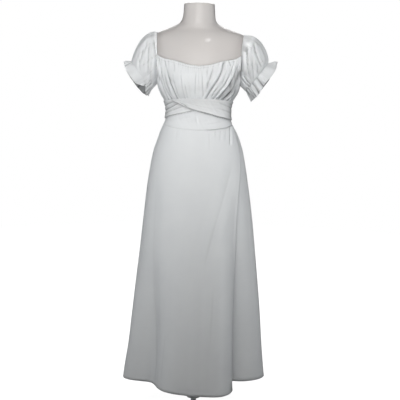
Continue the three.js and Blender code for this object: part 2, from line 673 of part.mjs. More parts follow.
/** A flat base: a round hub with three legs that have round ends. */
function standBase() {
  const { hub, leg, halfWidth, height, legs } = BASE;
  const root = Math.asin(halfWidth / hub);
  const outline = new THREE.Shape();
  legs.forEach((direction, i) => {
    const turn = radians(direction);
    const end = new THREE.Vector2(Math.cos(turn), Math.sin(turn)).multiplyScalar(leg - halfWidth);
    const next = radians(legs[(i + 1) % legs.length] + (i === legs.length - 1 ? 360 : 0));
    if (i === 0) outline.moveTo(hub * Math.cos(turn - root), hub * Math.sin(turn - root));
    outline.absarc(end.x, end.y, halfWidth, turn - Math.PI / 2, turn + Math.PI / 2, false);
    outline.absarc(0, 0, hub, turn + root, next - root, false);
  });
  const options = { depth: height, bevelEnabled: false, curveSegments: 12 };
  const geometry = new THREE.ExtrudeGeometry(outline, options);
  geometry.translate(0, STAND_Y, 0);
  return geometry;
}

const dressOnForm = new THREE.Group();

function addPiece(name, geometry, finish) {
  const mesh = new THREE.Mesh(geometry, new THREE.MeshStandardMaterial(finish));
  mesh.name = name;
  dressOnForm.add(mesh);
}

addPiece('stand_base', standBase(), COLOURS.steel);
addPiece('stand_pole', standPole(), COLOURS.steel);
addPiece('form_torso', formTorso(), COLOURS.form);
addPiece('bodice_front', bodiceFront(), COLOURS.cloth);
addPiece('bodice_back', bodiceBack(), COLOURS.cloth);
addPiece('midriff_front', midriff(0), COLOURS.cloth);
addPiece('midriff_back', midriff(180), COLOURS.cloth);
addPiece('skirt_front', skirtFront(), COLOURS.cloth);
addPiece('skirt_under', skirtUnder(), COLOURS.cloth);
addPiece('skirt_back', skirtBack(), COLOURS.cloth);
addPiece('sash_over', sashStretch(SASH_OVER, 30), COLOURS.sash);
addPiece('sash_under', sashStretch(SASH_UNDER, 28), COLOURS.sash);
addPiece('sash_knot', sashKnot(), COLOURS.sash);
addPiece('sash_tail_left', sashTail(1), COLOURS.sash);
addPiece('sash_tail_right', sashTail(-1), COLOURS.sash);
for (const row of SLEEVES) {
  addPiece(`sleeve_${row.name}`, sleeve(row), COLOURS.cloth);
  addPiece(`frill_${row.name}`, frill(row), COLOURS.cloth);
}

export default dressOnForm;
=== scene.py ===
"""The looks of a white off-the-shoulder maxi dress on a limbless form with a stand.

Sizes are in millimetres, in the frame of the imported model, and meshes are written in metres.
A place on the body is a turn and a height: turn 0 is the middle of the front, 90 the +X side.
Each cloth piece is a thin shell on the form of its solid, with its creases placed by hand."""
import math

import bpy
import numpy as np
from mathutils import Matrix, Vector


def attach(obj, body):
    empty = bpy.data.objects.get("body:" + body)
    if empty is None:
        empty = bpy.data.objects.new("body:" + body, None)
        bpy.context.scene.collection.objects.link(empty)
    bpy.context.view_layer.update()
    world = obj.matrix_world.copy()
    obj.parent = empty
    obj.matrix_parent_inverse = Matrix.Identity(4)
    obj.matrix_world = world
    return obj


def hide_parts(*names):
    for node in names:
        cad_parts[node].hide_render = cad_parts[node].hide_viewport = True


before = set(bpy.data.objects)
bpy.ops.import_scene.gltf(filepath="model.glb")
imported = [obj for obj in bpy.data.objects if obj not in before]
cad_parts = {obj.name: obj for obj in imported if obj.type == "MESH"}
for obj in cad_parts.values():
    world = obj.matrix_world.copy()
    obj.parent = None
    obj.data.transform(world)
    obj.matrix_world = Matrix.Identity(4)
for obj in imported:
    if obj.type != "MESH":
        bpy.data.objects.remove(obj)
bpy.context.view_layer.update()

MM = 0.001
FABRIC = 0.8  # thickness of one layer of cloth
FOLDED = 1.9  # thickness of a turned edge
SIDE = 89.95  # turn of the side seams, a little short of the exact side
ARMHOLE = 149.5  # the bodice's half width at its top, where the sleeves begin
FOOT_HALF = 124.9  # its half width at the underbust seam


# ---- numbers and curves
def ease(s):
    s = np.clip(s, 0, 1)
    return s * s * (3 - 2 * s)


def bump(distance, spread):
    return np.exp(-((distance / spread) ** 2))


def mix(a, b, s):
    return a + (b - a) * s


def signed_power(value, power):
    return np.sign(value) * np.abs(value) ** power


def apart(turn, at):
    """Degrees from one direction to another, between -180 and 180."""
    return (turn - at + 180) % 360 - 180


def curve(at, value):
    """A smooth curve through points, which never overshoots them."""
    at, value = np.asarray(at, float), np.asarray(value, float)
    slope = np.diff(value) / np.diff(at)
    both = slope[:-1] * slope[1:]
    total = slope[:-1] + slope[1:]
    inner = np.where(both > 0, 2 * both / np.where(total == 0, 1, total), 0)
    tangent = np.concatenate([slope[:1], inner, slope[-1:]])

    def value_at(where):
        where = np.asarray(where, float)
        i = np.clip(np.searchsorted(at, where) - 1, 0, len(at) - 2)
        span = at[i + 1] - at[i]
        s = np.clip((where - at[i]) / span, 0, 1)
        rise = value[i + 1] - value[i]
        start, end = span * tangent[i], span * tangent[i + 1]
        return value[i] + s * (start + s * (3 * rise - 2 * start - end + s * (start + end - 2 * rise)))

    return value_at


def curves(names, rows):
    """The columns of a table as curves along its first column."""
    columns = list(zip(*rows))
    return {name: curve(columns[0], column) for name, column in zip(names.split(), columns[1:])}


def wobble(x, period, seed):
    """A smooth uneven wave between about -1 and 1."""
    phase = np.random.RandomState(seed).uniform(0, 2 * math.pi, 4)
    total = 0
    for k, (share, weight) in enumerate(((1, 0.5), (0.57, 0.28), (0.37, 0.2), (0.23, 0.12))):
        total = total + weight * np.sin(2 * math.pi * x / (period * share) + phase[k])
    return total


# ---- body sections
FIGURE_ROWS = [  # z, middle, then how far it reaches from there to the side, front and back
    (780, 0, 166, 108, 112), (792, 0, 169, 112, 116), (870, 0, 166, 116, 124), (925, 0, 160, 116, 124),
    (962, 0, 153, 113, 119), (999, 0, 143, 108, 111), (1028, 0, 132, 102, 102), (1054, 0, 120.5, 96.5, 94.5),
    (1077, 0, 114.5, 94, 92), (1107, 0, 112.5, 94, 91), (1128, 0, 115.5, 98, 94), (1146, 0, 123, 105, 97),
    (1172, 0, 135.5, 120, 102), (1190, 0, 142, 128, 105), (1204, 0, 145.1, 132, 107),
    (1216, 0, 147.8, 133, 108), (1233, 0, 153, 132, 109), (1250, 0, 160, 127, 110), (1272, 0, 169, 119, 110),
    (1300, 0, 178, 109, 107), (1322, 0, 180, 101, 102), (1345, 0, 178, 92, 95), (1364, 0, 172, 83, 88),
    (1380, 0, 157, 74, 80), (1399, -4, 112, 62, 69), (1410, -5, 86, 58, 65), (1420, -4, 69, 55, 62),
    (1434, -3, 60.5, 53, 60), (1452, -2, 57.5, 51, 58), (1489, -2, 55, 48, 56)]
SKIRT_ROWS = [  # the same, and a power that makes the sections fuller or flatter
    (78, 0, 271, 192, 200, 1.2), (117, 0, 267, 189, 197, 1.19), (236, 3, 252, 181, 188, 1.16),
    (354, 4.5, 241, 174, 181, 1.13), (471, 5, 229, 166, 174, 1.1), (586, 5.4, 216.2, 158, 166, 1.07),
    (700, 5, 203.7, 150, 157, 1.04), (775, 4.1, 194.8, 144, 151, 1.02), (850, 2.8, 184.7, 138, 144, 1.01),
    (925, 2.4, 172, 130, 136, 1), (962, 2.4, 164, 124, 129, 1), (999, 3, 152, 117.5, 120, 1),
    (1028, 1.8, 141, 110.5, 111, 1), (1054, 0, 128.4, 104.4, 102.4, 1), (1077, 0, 119.2, 99.4, 97.4, 1)]
WORN = 4.4  # how far the cloth lies off the figure above the waist
BODICE_ROWS = [(z, middle, side + WORN, front + WORN, back + WORN, 1)
               for z, middle, side, front, back in FIGURE_ROWS if 1107 <= z <= 1322]
FIGURE = curves("middle side front back", FIGURE_ROWS)
DRESS = curves("middle side front back corner", SKIRT_ROWS + BODICE_ROWS)


def section_point(section, turn, z, lift):
    angle = np.radians(turn)
    depth = np.where(np.cos(angle) >= 0, section["front"](z), section["back"](z))
    corner = section["corner"](z) if "corner" in section else 1.0
    x = section["middle"](z) + (section["side"](z) + lift) * signed_power(np.sin(angle), corner)
    y = -(depth + lift) * signed_power(np.cos(angle), corner)
    return np.stack([x, y, z + 0 * x], -1)


def dress_point(turn, z, lift):
    return section_point(DRESS, turn, z, lift)


def front_share(turn):
    return np.maximum(0, np.cos(np.radians(turn)))


def underbust(turn):
    return 1138 + 11 * front_share(turn) ** 1.2


def waist(turn):
    return 1058 - 18 * front_share(turn) ** 1.4


# ---- meshes
def grid(columns, rows):
    """Fractions across and up for a grid of points."""
    return np.meshgrid(np.linspace(0, 1, columns + 1), np.linspace(0, 1, rows + 1))


def ring_faces(j, i, around):
    """Quads between rings of points, at rows j and columns i."""
    after = (i + 1) % around
    return np.stack([j * around + i, j * around + after, (j + 1) * around + after, (j + 1) * around + i], -1)


def grid_normals(outer, tube, middle):
    if tube:
        across = np.roll(outer, -1, 1) - np.roll(outer, 1, 1)
    else:
        across = np.gradient(outer, axis=1)
    up = np.gradient(outer, axis=0)
    normal = np.cross(across, up)
    normal /= np.maximum(np.linalg.norm(normal, axis=-1, keepdims=True), 1e-9)
    if np.sum(normal * (outer - middle)) < 0:
        normal = -normal
    return normal


def add_mesh(name, points, faces, uv=None):
    """An object from points in millimetres, quads, and a UV for each corner in metres."""
    mesh = bpy.data.meshes.new(name)
    mesh.vertices.add(len(points))
    mesh.vertices.foreach_set("co", (np.asarray(points) * MM).astype(np.float32).ravel())
    mesh.loops.add(faces.size)
    mesh.loops.foreach_set("vertex_index", faces.astype(np.int32).ravel())
    mesh.polygons.add(len(faces))
    mesh.polygons.foreach_set("loop_start", np.arange(0, faces.size, 4, dtype=np.int32))
    mesh.polygons.foreach_set("use_smooth", np.ones(len(faces), bool))
    if uv is not None:
        layer = mesh.uv_layers.new(name="grain")
        layer.data.foreach_set("uv", uv.astype(np.float32).ravel())
    mesh.update(calc_edges=True)
    mesh.validate()
    thing = bpy.data.objects.new(name, mesh)
    bpy.context.scene.collection.objects.link(thing)
    return thing


def tube_grid(columns, rows):
    """Angles round a tube and fractions along it."""
    across, up = grid(columns, rows)
    return across[:, :-1] * 360, up[:, :-1]


def arc_lengths(points, axis):
    """Lengths along one axis of a grid of points, from the middle of that axis."""
    step = np.linalg.norm(np.diff(points, axis=axis), axis=-1)
    zero = np.zeros_like(np.take(step, [0], axis=axis))
    length = np.concatenate([zero, np.cumsum(step, axis=axis)], axis=axis)
    middle = np.take(length, [length.shape[axis] // 2], axis=axis)
    return length - middle


def smoothed(points, axis, reach, wrap):
    """Points blurred along one axis of their grid over a reach in millimetres."""
    step = np.mean(np.linalg.norm(np.diff(points, axis=axis), axis=-1))
    pad = [(0, 0)] * 3
    pad[axis] = (1, 1)
    ends = {"mode": "wrap"} if wrap else {"mode": "reflect", "reflect_type": "odd"}
    for _ in range(int(min(80, max(1, round(2 * (reach / step) ** 2))))):
        wide = np.pad(points, pad, **ends)
        before, after = (np.take(wide, range(k, k + points.shape[axis]), axis=axis) for k in (0, 2))
        points = 0.5 * points + 0.25 * (before + after)
    return points


def crease_shade(outer, normal, tube, deep):
    """A tint below 1 in the valleys of creases, where folded cloth shades itself."""
    around = smoothed(smoothed(outer, 1, 3.6, tube), 0, 3.6, False)
    height = np.sum((outer - around) * normal, axis=-1)
    return 1 + deep * np.clip(height / 1.7, -1, 0) + 0.05 * np.clip(height / 1.2, 0, 1)


def near_shade(distance, deep, reach):
    """A tint for cloth close under an edge, fading over a reach beyond it."""
    return 1 - deep * np.where(distance >= 0, fading(distance, reach), 0)


def shell(name, outer, thickness=FABRIC, tube=False, middle=None, tint=1.0, inside=1.0, deep=0.45):
    """A thin closed wall of cloth under a grid of outer points, with a tint for each of them."""
    if middle is None:
        middle = outer * (0, 0, 1)
    normal = grid_normals(outer, tube, middle)
    inner = outer - normal * np.broadcast_to(thickness, outer.shape[:2])[..., None]
    rows, stride = outer.shape[:2]
    closed = np.concatenate([outer, outer[:, :1]], 1) if tube else outer
    columns = closed.shape[1]
    grain = np.stack([arc_lengths(closed, 1), arc_lengths(closed, 0)], -1) * MM
    faces, uvs = [], []

    def add(j, i, corners):
        """Quads at rows j and columns i, whose corners are steps up, steps across and a layer."""
        index = [(layer * rows + j + dj) * stride + (i + di) % stride for dj, di, layer in corners]
        faces.append(np.stack(index, -1))
        uvs.append(np.stack([grain[j + dj, i + di] for dj, di, _ in corners], 1))

    row, column = np.arange(rows - 1), np.arange(columns - 1)
    j, i = (a.ravel() for a in np.meshgrid(row, column, indexing="ij"))
    add(j, i, [(0, 0, 0), (0, 1, 0), (1, 1, 0), (1, 0, 0)])
    add(j, i, [(0, 0, 1), (1, 0, 1), (1, 1, 1), (0, 1, 1)])
    level = [(0, 0, 0), (0, 0, 1), (0, 1, 1), (0, 1, 0)]
    upright = [(0, 0, 0), (1, 0, 0), (1, 0, 1), (0, 0, 1)]
    add(0 * column, column, level)
    add(0 * column + rows - 1, column, level[::-1])
    if not tube:
        add(row, 0 * row, upright)
        add(row, 0 * row + columns - 1, upright[::-1])
    faces, uvs = np.concatenate(faces), np.concatenate(uvs)
    points = np.concatenate([outer.reshape(-1, 3), inner.reshape(-1, 3)])
    a, b, c, d = (points[faces[:, k]] for k in range(4))
    if np.sum(a * np.cross(b, c)) + np.sum(a * np.cross(c, d)) < 0:
        faces, uvs = faces[:, ::-1], uvs[:, ::-1]
    thing = add_mesh(name, points, faces, uvs)
    shade = (crease_shade(outer, normal, tube, deep) * tint).ravel()
    layer = thing.data.attributes.new("shade", "FLOAT", "POINT")
    layer.data.foreach_set("value", np.concatenate([shade, shade * inside]).astype(np.float32))
    return thing


# ---- creases
def trough(u):
    """A fold's valley of depth 1 with a narrow floor and a low roll on each side."""
    far = np.sqrt(u * u + 0.08) - 0.28
    return -np.exp(-1.15 * np.maximum(far, 0)) + 0.3 * np.exp(-(((np.abs(u) - 2.1) / 0.9) ** 2))


def crease(along, across, points, width, depth, fades):
    """A crease along a line of (along, across) points, with the lengths over which its ends fade."""
    at, off = [p[0] for p in points], [p[1] for p in points]
    if at[0] > at[-1]:
        at, off = at[::-1], off[::-1]
    line = curve(at, off) if len(at) > 2 else (lambda s: np.interp(s, at, off))
    slope = (off[-1] - off[0]) / (at[-1] - at[0])
    u = (across - line(along)) / math.sqrt(1 + slope * slope) / width
    first, last = fades
    fade = ease((along - at[0] + first) / (2 * first)) * ease((at[-1] + last - along) / (2 * last))
    return depth * fade * trough(u)


def creases(along, across, rows, deeper=1.0):
    """All the creases of a table with points, width, depth and fades in each row."""
    return sum(crease(along, across, points, width, deeper * depth, fades)
               for points, width, depth, fades in rows)


def folds(phase):
    """Rounded ridges of height 1 with narrow valleys, one for each unit of phase."""
    return np.abs(np.sin(np.pi * phase)) ** 0.8


def gathers(x, period, seed, uneven=0.45):
    """Fine uneven gathers along x, between about -0.5 and 0.5."""
    phase = x / period + uneven * wobble(x, period * 6, seed)
    strength = 0.65 + 0.5 * wobble(x, period * 3.7, seed + 1)
    return (folds(phase) - 0.5) * strength


def fading(distance, length):
    """A share that falls from 1 beyond an edge, over a length."""
    return np.exp(-np.maximum(0, distance) / length)


def casing(from_top):
    """The roll of an elastic casing at the neck, and the stitched line below it."""
    return 0.9 * np.sqrt(np.clip(1 - ((from_top - 4) / 4.2) ** 2, 0, 1)) - 0.5 * bump(from_top - 8.6, 1)


def hemmed(from_hem):
    """The thickness of a panel that is turned up at its hem."""
    return mix(FABRIC, FOLDED, ease((15 - from_hem) / 1.5))


def turned_edge(distance, width, rise):
    """How far a turned and stitched edge stands out, by the distance from it."""
    raised = rise * ease((width + 1.2 - distance) / 2.4)
    stitched = -0.45 * bump(distance - (width - 1.2), 0.9)
    return raised + stitched


# ---- bodice
HEADS = [  # for each gather: x at its foot and at its head, then how high it is low down and high up
    (-124.9, -149.5, 0, 0), (-122.6, -148, 3, 3), (-118, -146, 5, 4), (-111, -143, 6, 5),
    (-102, -138, 7, 5), (-92, -131, 7, 4), (-82, -121, 5, 3), (-71, -107, 4, 3), (-60, -90, 6, 2),
    (-48, -72, 4, 3), (-36, -54, 3, 3), (-24, -36, 3, 2), (-12, -18, 2, 2), (0, 1, 2, 2),
    (12, 23, 3, 2), (23, 52, 4, 3), (33, 86, 7, 3), (46, 102, 4, 4), (58, 114, 5, 4),
    (69, 124, 8, 5), (80, 132, 8, 6), (91, 138, 7, 6), (102, 142, 7, 5), (112, 145, 6, 4),
    (119, 147, 4, 3), (123, 148.5, 3, 2), (124.9, 149.5, 0, 0)]
GATHER_CURVES = curves("head low high", HEADS)
NECKLINE = curve(*zip((0, 1265.5), (35, 1270), (65, 1278.5), (87, 1284.5), (104, 1287.5), (119, 1290.5),
                      (133, 1295.5), (143, 1301.5), (149.5, 1305)))
BODICE_CREASES = [  # points (z, x), width, depth, fades
    ([(1148, 25), (1183, 44), (1218, 64), (1253, 81), (1281, 88)], 4.2, 7.5, (6, 14)),
    ([(1146, 64), (1169, 83), (1194, 103), (1226, 121), (1268, 137)], 4.6, 12, (6, 16)),
    ([(1145, 80), (1166, 101), (1189, 121), (1219, 134), (1245, 143)], 4.2, 12, (6, 16)),
    ([(1143, 100), (1159, 115), (1177, 128), (1205, 137)], 3.8, 11, (6, 16)),
    ([(1143, 115), (1159, 124), (1177, 133)], 2.8, 7, (6, 12)),
    ([(1146, 50), (1170, 66), (1200, 86), (1240, 108), (1275, 121)], 3.4, 4.2, (6, 22)),
    ([(1146, 84), (1168, 104), (1190, 120)], 2.4, 4.5, (6, 14)),
    ([(1183, 26), (1217, 36), (1252, 46)], 3.4, 2.4, (18, 16)),
    ([(1158, 44), (1190, 61)], 2.6, 3.4, (8, 14)),
    ([(1292, -141), (1257, -134), (1217, -126), (1180, -112), (1146, -94)], 3.6, 7.5, (6, 12)),
    ([(1229, -139), (1194, -127), (1146, -106)], 3.2, 7.0, (6, 18)),
    ([(1196, -92), (1170, -82), (1147, -71)], 3.0, 5.6, (6, 16)),
    ([(1204, -47), (1174, -41), (1153, -37)], 3.0, 2.0, (6, 18)),
    ([(1260, -112), (1210, -98), (1147, -76)], 3.6, 3.8, (6, 24)),
    ([(1240, -60), (1190, -54), (1150, -46)], 3.6, 2.2, (6, 26)),
    ([(1244, -10), (1164, -12)], 3.0, 1.2, (12, 18)),
    ([(1244, 11), (1158, 16)], 3.0, 1.4, (12, 18)),
    ([(1252, 28), (1190, 30)], 3.0, 1.2, (18, 16)),
    ([(1288, 102), (1267, 109)], 2.4, 2.6, (8, 6)),
    ([(1288, 120), (1262, 124)], 2.2, 2.0, (8, 6)),
    ([(1284, -118), (1262, -114)], 2.4, 2.0, (8, 6)),
    ([(1272, -84), (1240, -80)], 2.8, 1.4, (14, 8)),
]


BODICE_TINTS = [  # amount, x and its spread, z and its spread
    (-0.34, 130, 20, 1160, 32), (-0.14, -126, 14, 1158, 24),
    (0.15, 0, 42, 1156, 20), (-0.1, -98, 22, 1212, 34)]
SIDE_FOLD = curve(*zip((1155, 84), (1185, 110), (1206, 122), (1228, 133), (1252, 144)))  # x by z


def bodice_front():
    across, up = grid(470, 84)
    place = across * (len(HEADS) - 1)
    foot = np.interp(place, np.arange(len(HEADS)), [row[0] for row in HEADS])
    head = GATHER_CURVES["head"](foot) / ARMHOLE
    share = mix(foot / FOOT_HALF, head, up ** 0.8)
    top = NECKLINE(np.abs(head) * ARMHOLE)
    foot_turn = np.degrees(np.arcsin(np.clip(foot / FOOT_HALF, -1, 1)))
    z = mix(underbust(foot_turn) - 1.5, top, up)
    reach = share * np.minimum(1, ARMHOLE / DRESS["side"](z))
    turn = np.clip(np.degrees(np.arcsin(np.clip(reach, -1, 1))), -89.9, 89.9)
    edge = ease((1 - np.abs(share)) / 0.03)
    pinch = ease(up / 0.12) * ease((1 - up) / 0.08) * edge
    strength = mix(GATHER_CURVES["low"](foot), GATHER_CURVES["high"](foot), up)
    cup = 7 * bump(np.abs(turn) - 27, 17) * bump(z - 1222, 34)
    x = dress_point(turn, z, 0)[..., 0]
    blouse = 3.5 * bump(z - 1168, 24) * ease(up / 0.12) * bump(turn, 42)
    blouse = blouse * (1 - 0.85 * bump(turn + 2, 16))
    strength = strength * mix(0.16, 0.45, ease((np.abs(foot + 8) - 30) / 40))
    lift = (cup + blouse + mix(1.2, 3.2, ease(up / 0.25))) * edge
    lift = lift + folds(place + 0.1 * wobble(z, 90, 3)) * strength * pinch
    lift = lift + edge * creases(z, x, BODICE_CREASES)
    drag = crease(x, z, [(-106, 1223), (-79, 1206)], 5, 1.8, (12, 16))
    from_top, from_foot = top - z, z - underbust(foot_turn)
    neck = 1.5 * gathers(foot * 1.1, 5.2, 5) * fading(from_top - 5, 15 + 9 * wobble(foot, 60, 11))
    bottom = 1.9 * gathers(foot, 4.6, 8) * fading(from_foot, 8 + 5 * wobble(foot, 40, 17))
    body = 0.35 * gathers(foot + 3 * wobble(z, 120, 21), 6.5, 23) * (1 - bump(foot, 50) * 0.3)
    lift = lift + (drag + neck + bottom + casing(from_top) + body) * edge
    right = bump(x - 122, 34) * bump(z - 1175, 50)
    tint = 1 + sum(amount * bump(x - at_x, wide) * bump(z - at_z, tall)
                   for amount, at_x, wide, at_z, tall in BODICE_TINTS)
    side_fold = bump(x - SIDE_FOLD(z), 11) * ease((z - 1140) / 20) * ease((1275 - z) / 35)
    tint = tint - 0.54 * side_fold
    outer = dress_point(turn, z, np.maximum(lift, -2.6))
    return shell("bodice_front_cloth", outer, tint=tint, deep=0.5 + 0.35 * right)


BACK_BODICE_CREASES = [
    ([(1140, -70), (1180, -78), (1230, -88)], 4.5, 2.2, (6, 24)),
    ([(1140, -38), (1200, -44)], 4.5, 1.8, (6, 22)),
    ([(1140, 6), (1190, 4)], 4.5, 1.5, (6, 24)),
    ([(1140, 44), (1175, 52), (1215, 57)], 4.5, 2.0, (6, 22)),
    ([(1142, 88), (1200, 104)], 4.2, 2.4, (6, 24)),
]


def bodice_back():
    across, up = grid(220, 48)
    share = mix(-1, 1, across)
    top = mix(1298, 1305, share ** 2)
    z = mix(1136.5, top, up)
    edge_turn = np.degrees(np.arcsin(np.minimum(1, ARMHOLE / DRESS["side"](z))))
    turn = np.clip(share * edge_turn, -89.9, 89.9)
    edge = ease((1 - np.abs(share)) / 0.06)
    x = share * ARMHOLE
    ridge = folds(share * 7 + 0.5 + 0.12 * wobble(x, 90, 31))
    lift = ridge * 2.4 * (0.35 + 0.65 * up) * ease(up / 0.2)
    lift = lift + 1.1 * gathers(x, 6.5, 33) * fading(top - z, 14 + 9 * wobble(x, 70, 35))
    lift = lift + 1.0 * gathers(x, 6, 37) * np.exp(-(z - 1138) / (9 + 5 * wobble(x, 60, 39)))
    lift = lift + creases(z, x, BACK_BODICE_CREASES) + casing(top - z)
    return shell("bodice_back_cloth", dress_point(180 - turn, z, lift * edge))


def midriff(part):
    across, up = grid(150, 36)
    centre = {"front": 0, "back": 180}[part]
    turn = centre + mix(-SIDE, SIDE, across)
    low, high = waist(turn), underbust(turn) - 0.2
    z = mix(low, high, up)
    x = dress_point(turn, z, 0)[..., 0]
    sunk = mix(0.3, 2.6, ease((x - 15) / 40)) if part == "front" else 1.5
    side = -0.7 * bump(SIDE - np.abs(turn - centre), 1.2)
    tint = 1.0
    lift = side - sunk * bump(z - low, 2.2)
    lift = lift + 0.35 * wobble(x + 0.6 * (z - low), 60, 41) * ease((z - low) / 12)
    if part == "front":
        streak = x - mix(2, -4, (z - 1062) / 26)
        lined = bump(z - 1075, 13)
        lift = lift + 0.3 * bump(streak, 3.4) * lined
        lift = lift + crease(x, z, [(-78, 1078), (-20, 1088)], 5, 0.5, (20, 20))
        lift = lift + crease(x, z, [(30, 1062), (82, 1070)], 4, 0.6, (20, 14))
        tint = near_shade(sash_foot(turn) - z, 0.34, 3.0)
        tint = tint * near_shade(z - low, 0.34 * ease((x - 20) / 30), 1.6)
        tint = tint * (1 + (0.12 * bump(streak, 3.4) - 0.12 * bump(streak + 6, 2)) * lined)
    return shell("midriff_%s_cloth" % part, dress_point(turn, z, lift), tint=tint)


# ---- skirt
HEM = 92  # about the height of the hem, where the folds are deepest
FREE_EDGE = curve(*zip((80, 160), (130, 157), (224, 152.6), (560, 152), (711, 150.5), (800, 152), (871, 156),
                       (928, 157), (978, 149), (1029, 134), (1056, 125)))
SKIRT_FOLDS = [  # turn, spread, depth at the hem, height where it starts
    (-75, 9, 6, 560), (-49, 13, -46, 640), (-22, 10, 5, 420), (24, 9, 13, 980), (44, 8, -34, 900),
    (112, 9, 9, 700), (128, 8, -20, 800), (146, 9, 10, 820), (164, 8, -16, 700), (182, 9, 11, 860),
    (201, 8, -18, 760), (219, 9, 10, 800), (237, 8, -20, 720), (252, 8, 8, 620)]
SKIRT_CREASES = [  # points (z, x), width, depth, fades
    ([(914, 125), (847, 108), (788, 91), (682, 60), (575, 34)], 15, 3.3, (120, 40)),
    ([(1031, 40), (972, 41)], 6, 0.9, (26, 6)),
    ([(1038, 81), (1007, 80)], 4, 1.3, (18, 6)),
    ([(1060, 119), (1018, 118), (990, 117)], 3.2, 3.8, (6, 22)),
    ([(1040, 62), (1020, 61)], 3.6, 1.0, (14, 6)),
    ([(1042, 101), (1012, 99)], 3.4, 1.1, (14, 6)),
    ([(840, -148), (640, -156), (414, -165), (126, -163)], 15, 2.2, (60, 90)),
    ([(475, 64), (294, 57)], 12, 1.6, (80, 60)),
    ([(320, -106), (131, -123)], 12, 2.4, (40, 60)),
    ([(1036, -74), (1000, -78)], 5, 0.8, (20, 6)),
]


FRONT_HEM = curve(*zip((-90, 95.5), (-76, 96), (-60, 98), (-46, 97), (-35, 95), (-15, 90), (5, 85),
                       (30, 83), (40, 84), (52, 90)))


def back_hem(turn):
    side = np.sin(np.radians(turn))
    return mix(95, 102, side ** 2) + 6.5 * np.minimum(0, side)


def skirt_swing(turn, z):
    total = 0
    for at, spread, depth, start in SKIRT_FOLDS:
        grown = np.clip((start - z) / (start - HEM), 0, 1)
        total = total + depth * bump(apart(turn, at), spread) * ease(grown) ** 0.8
    return total


def free_edge_turn(z):
    share = (FREE_EDGE(z) - DRESS["middle"](z)) / DRESS["side"](z)
    reach = np.minimum(0.998, share) ** (1 / DRESS["corner"](z))
    return np.degrees(np.arcsin(reach))


def past_free_edge(turn, z):
    """About how far a place lies beyond the front panel's free edge."""
    return np.radians(turn - free_edge_turn(z)) * DRESS["side"](z) * 0.62


def skirt_row(up):
    return 1 - (1 - up) ** 1.9


def waist_gathers(turn, z, seed):
    x = turn * 2.0
    length = np.maximum(4, 10 + 9 * wobble(x, 90, seed))
    return 0.9 * gathers(x, 7, seed + 2) * fading(waist(turn) - z, length)


def skirt_front():
    across, up = grid(180, 170)
    turn = mix(-90, free_edge_turn(mix(HEM, 1058, up)), across)
    for _ in range(5):  # the turn of the free edge and the height of the hem depend on each other
        z = mix(FRONT_HEM(turn), waist(turn), skirt_row(up))
        turn = mix(-SIDE, free_edge_turn(z), across)
    x = dress_point(turn, z, 0)[..., 0]
    seam = mix(0.3, 2.6, ease((x - 15) / 40)) * bump(waist(turn) - z, 2.2)
    lift = skirt_swing(turn, z) - seam - 0.8 * bump(turn + SIDE, 0.9) + creases(z, x, SKIRT_CREASES)
    lift = lift + waist_gathers(turn, z, 51) * mix(0.25, 1, ease((x - 10) / 40))
    lift = lift + 1.2 * wobble(x, 150, 53) * ease((900 - z) / 500)
    from_hem = z - FRONT_HEM(turn)
    from_edge = -past_free_edge(turn, z)
    lift = lift + turned_edge(from_hem, 14, 0.35) + turned_edge(from_edge, 9, 0.4)
    tint = near_shade(waist(turn) - z, 0.3 * ease((x - 20) / 30), 1.6)
    tint = tint * (1 - 0.5 * bump(from_edge - 3, 12) * ease((135 - z) / 40))
    thickness = np.maximum(hemmed(from_hem), hemmed(from_edge + 5))
    return shell("skirt_front_cloth", dress_point(turn, z, lift), thickness, tint=tint)


def skirt_under():
    across, up = grid(84, 120)
    flat_turn = mix(8, 90, across)
    hem = mix(103, 102, ease((flat_turn - 60) / 30))
    z = mix(hem, waist(flat_turn), skirt_row(up))
    turn = np.minimum(flat_turn, SIDE)
    behind = ease((90 - flat_turn) / (90 - (free_edge_turn(z) + 1.5)))
    fall = ease((930 - z) / (930 - 99))
    recess = 46 * fall * bump(flat_turn - 48, 24)
    clear = 1.2 + 4 * ease((1040 - z) / 120)
    lift = skirt_swing(turn, z) - (2.2 + clear + recess) * behind - 0.8 * bump(90 - flat_turn, 0.9)
    lift = lift - 1.2 * bump(waist(flat_turn) - z, 2.2) + turned_edge(z - hem, 14, 0.35)
    x = dress_point(turn, z, 0)[..., 0]
    lift = lift + crease(z, x, [(900, 176), (600, 206), (250, 238)], 7, 1.6, (80, 90))
    from_edge = past_free_edge(turn, z)
    high, upper = ease((z - 930) / 80), ease((z - 690) / 130)
    tint = near_shade(from_edge + 2, mix(mix(0.08, 0.5, upper), 0.6, high), mix(4, 10, high))
    return shell("skirt_under_cloth", dress_point(turn, z, lift), hemmed(z - hem), tint=tint)


BACK_SKIRT_CREASES = [  # points (z, turn), width and depth in turns and millimetres, fades
    ([(1050, -52), (900, -58), (760, -60)], 2.6, 2.4, (120, 6)),
    ([(1050, -20), (960, -22)], 2.2, 1.8, (60, 6)),
    ([(1050, 14), (880, 17)], 2.4, 2.2, (120, 6)),
    ([(1050, 40), (930, 45)], 2.4, 2.0, (80, 6)),
    ([(1050, 68), (980, 70)], 2.2, 1.6, (50, 6)),
    ([(1050, -76), (970, -78)], 2.2, 1.4, (50, 6)),
]


def skirt_back():
    across, up = grid(190, 120)
    turn = 180 + mix(SIDE, -SIDE, across)
    z = mix(back_hem(turn), waist(180), skirt_row(up))
    away = turn - 180
    side = 0.8 * bump(SIDE - np.abs(away), 0.9)
    lift = skirt_swing(turn, z) - 1.5 * bump(waist(180) - z, 2.2) - side
    lift = lift + waist_gathers(away, z, 61) * 1.5 + creases(z, away, BACK_SKIRT_CREASES)
    from_hem = z - back_hem(turn)
    lift = lift + turned_edge(from_hem, 14, 0.35) + 1.2 * wobble(away, 50, 63) * ease((900 - z) / 500)
    return shell("skirt_back_cloth", dress_point(turn, z, lift), hemmed(from_hem))


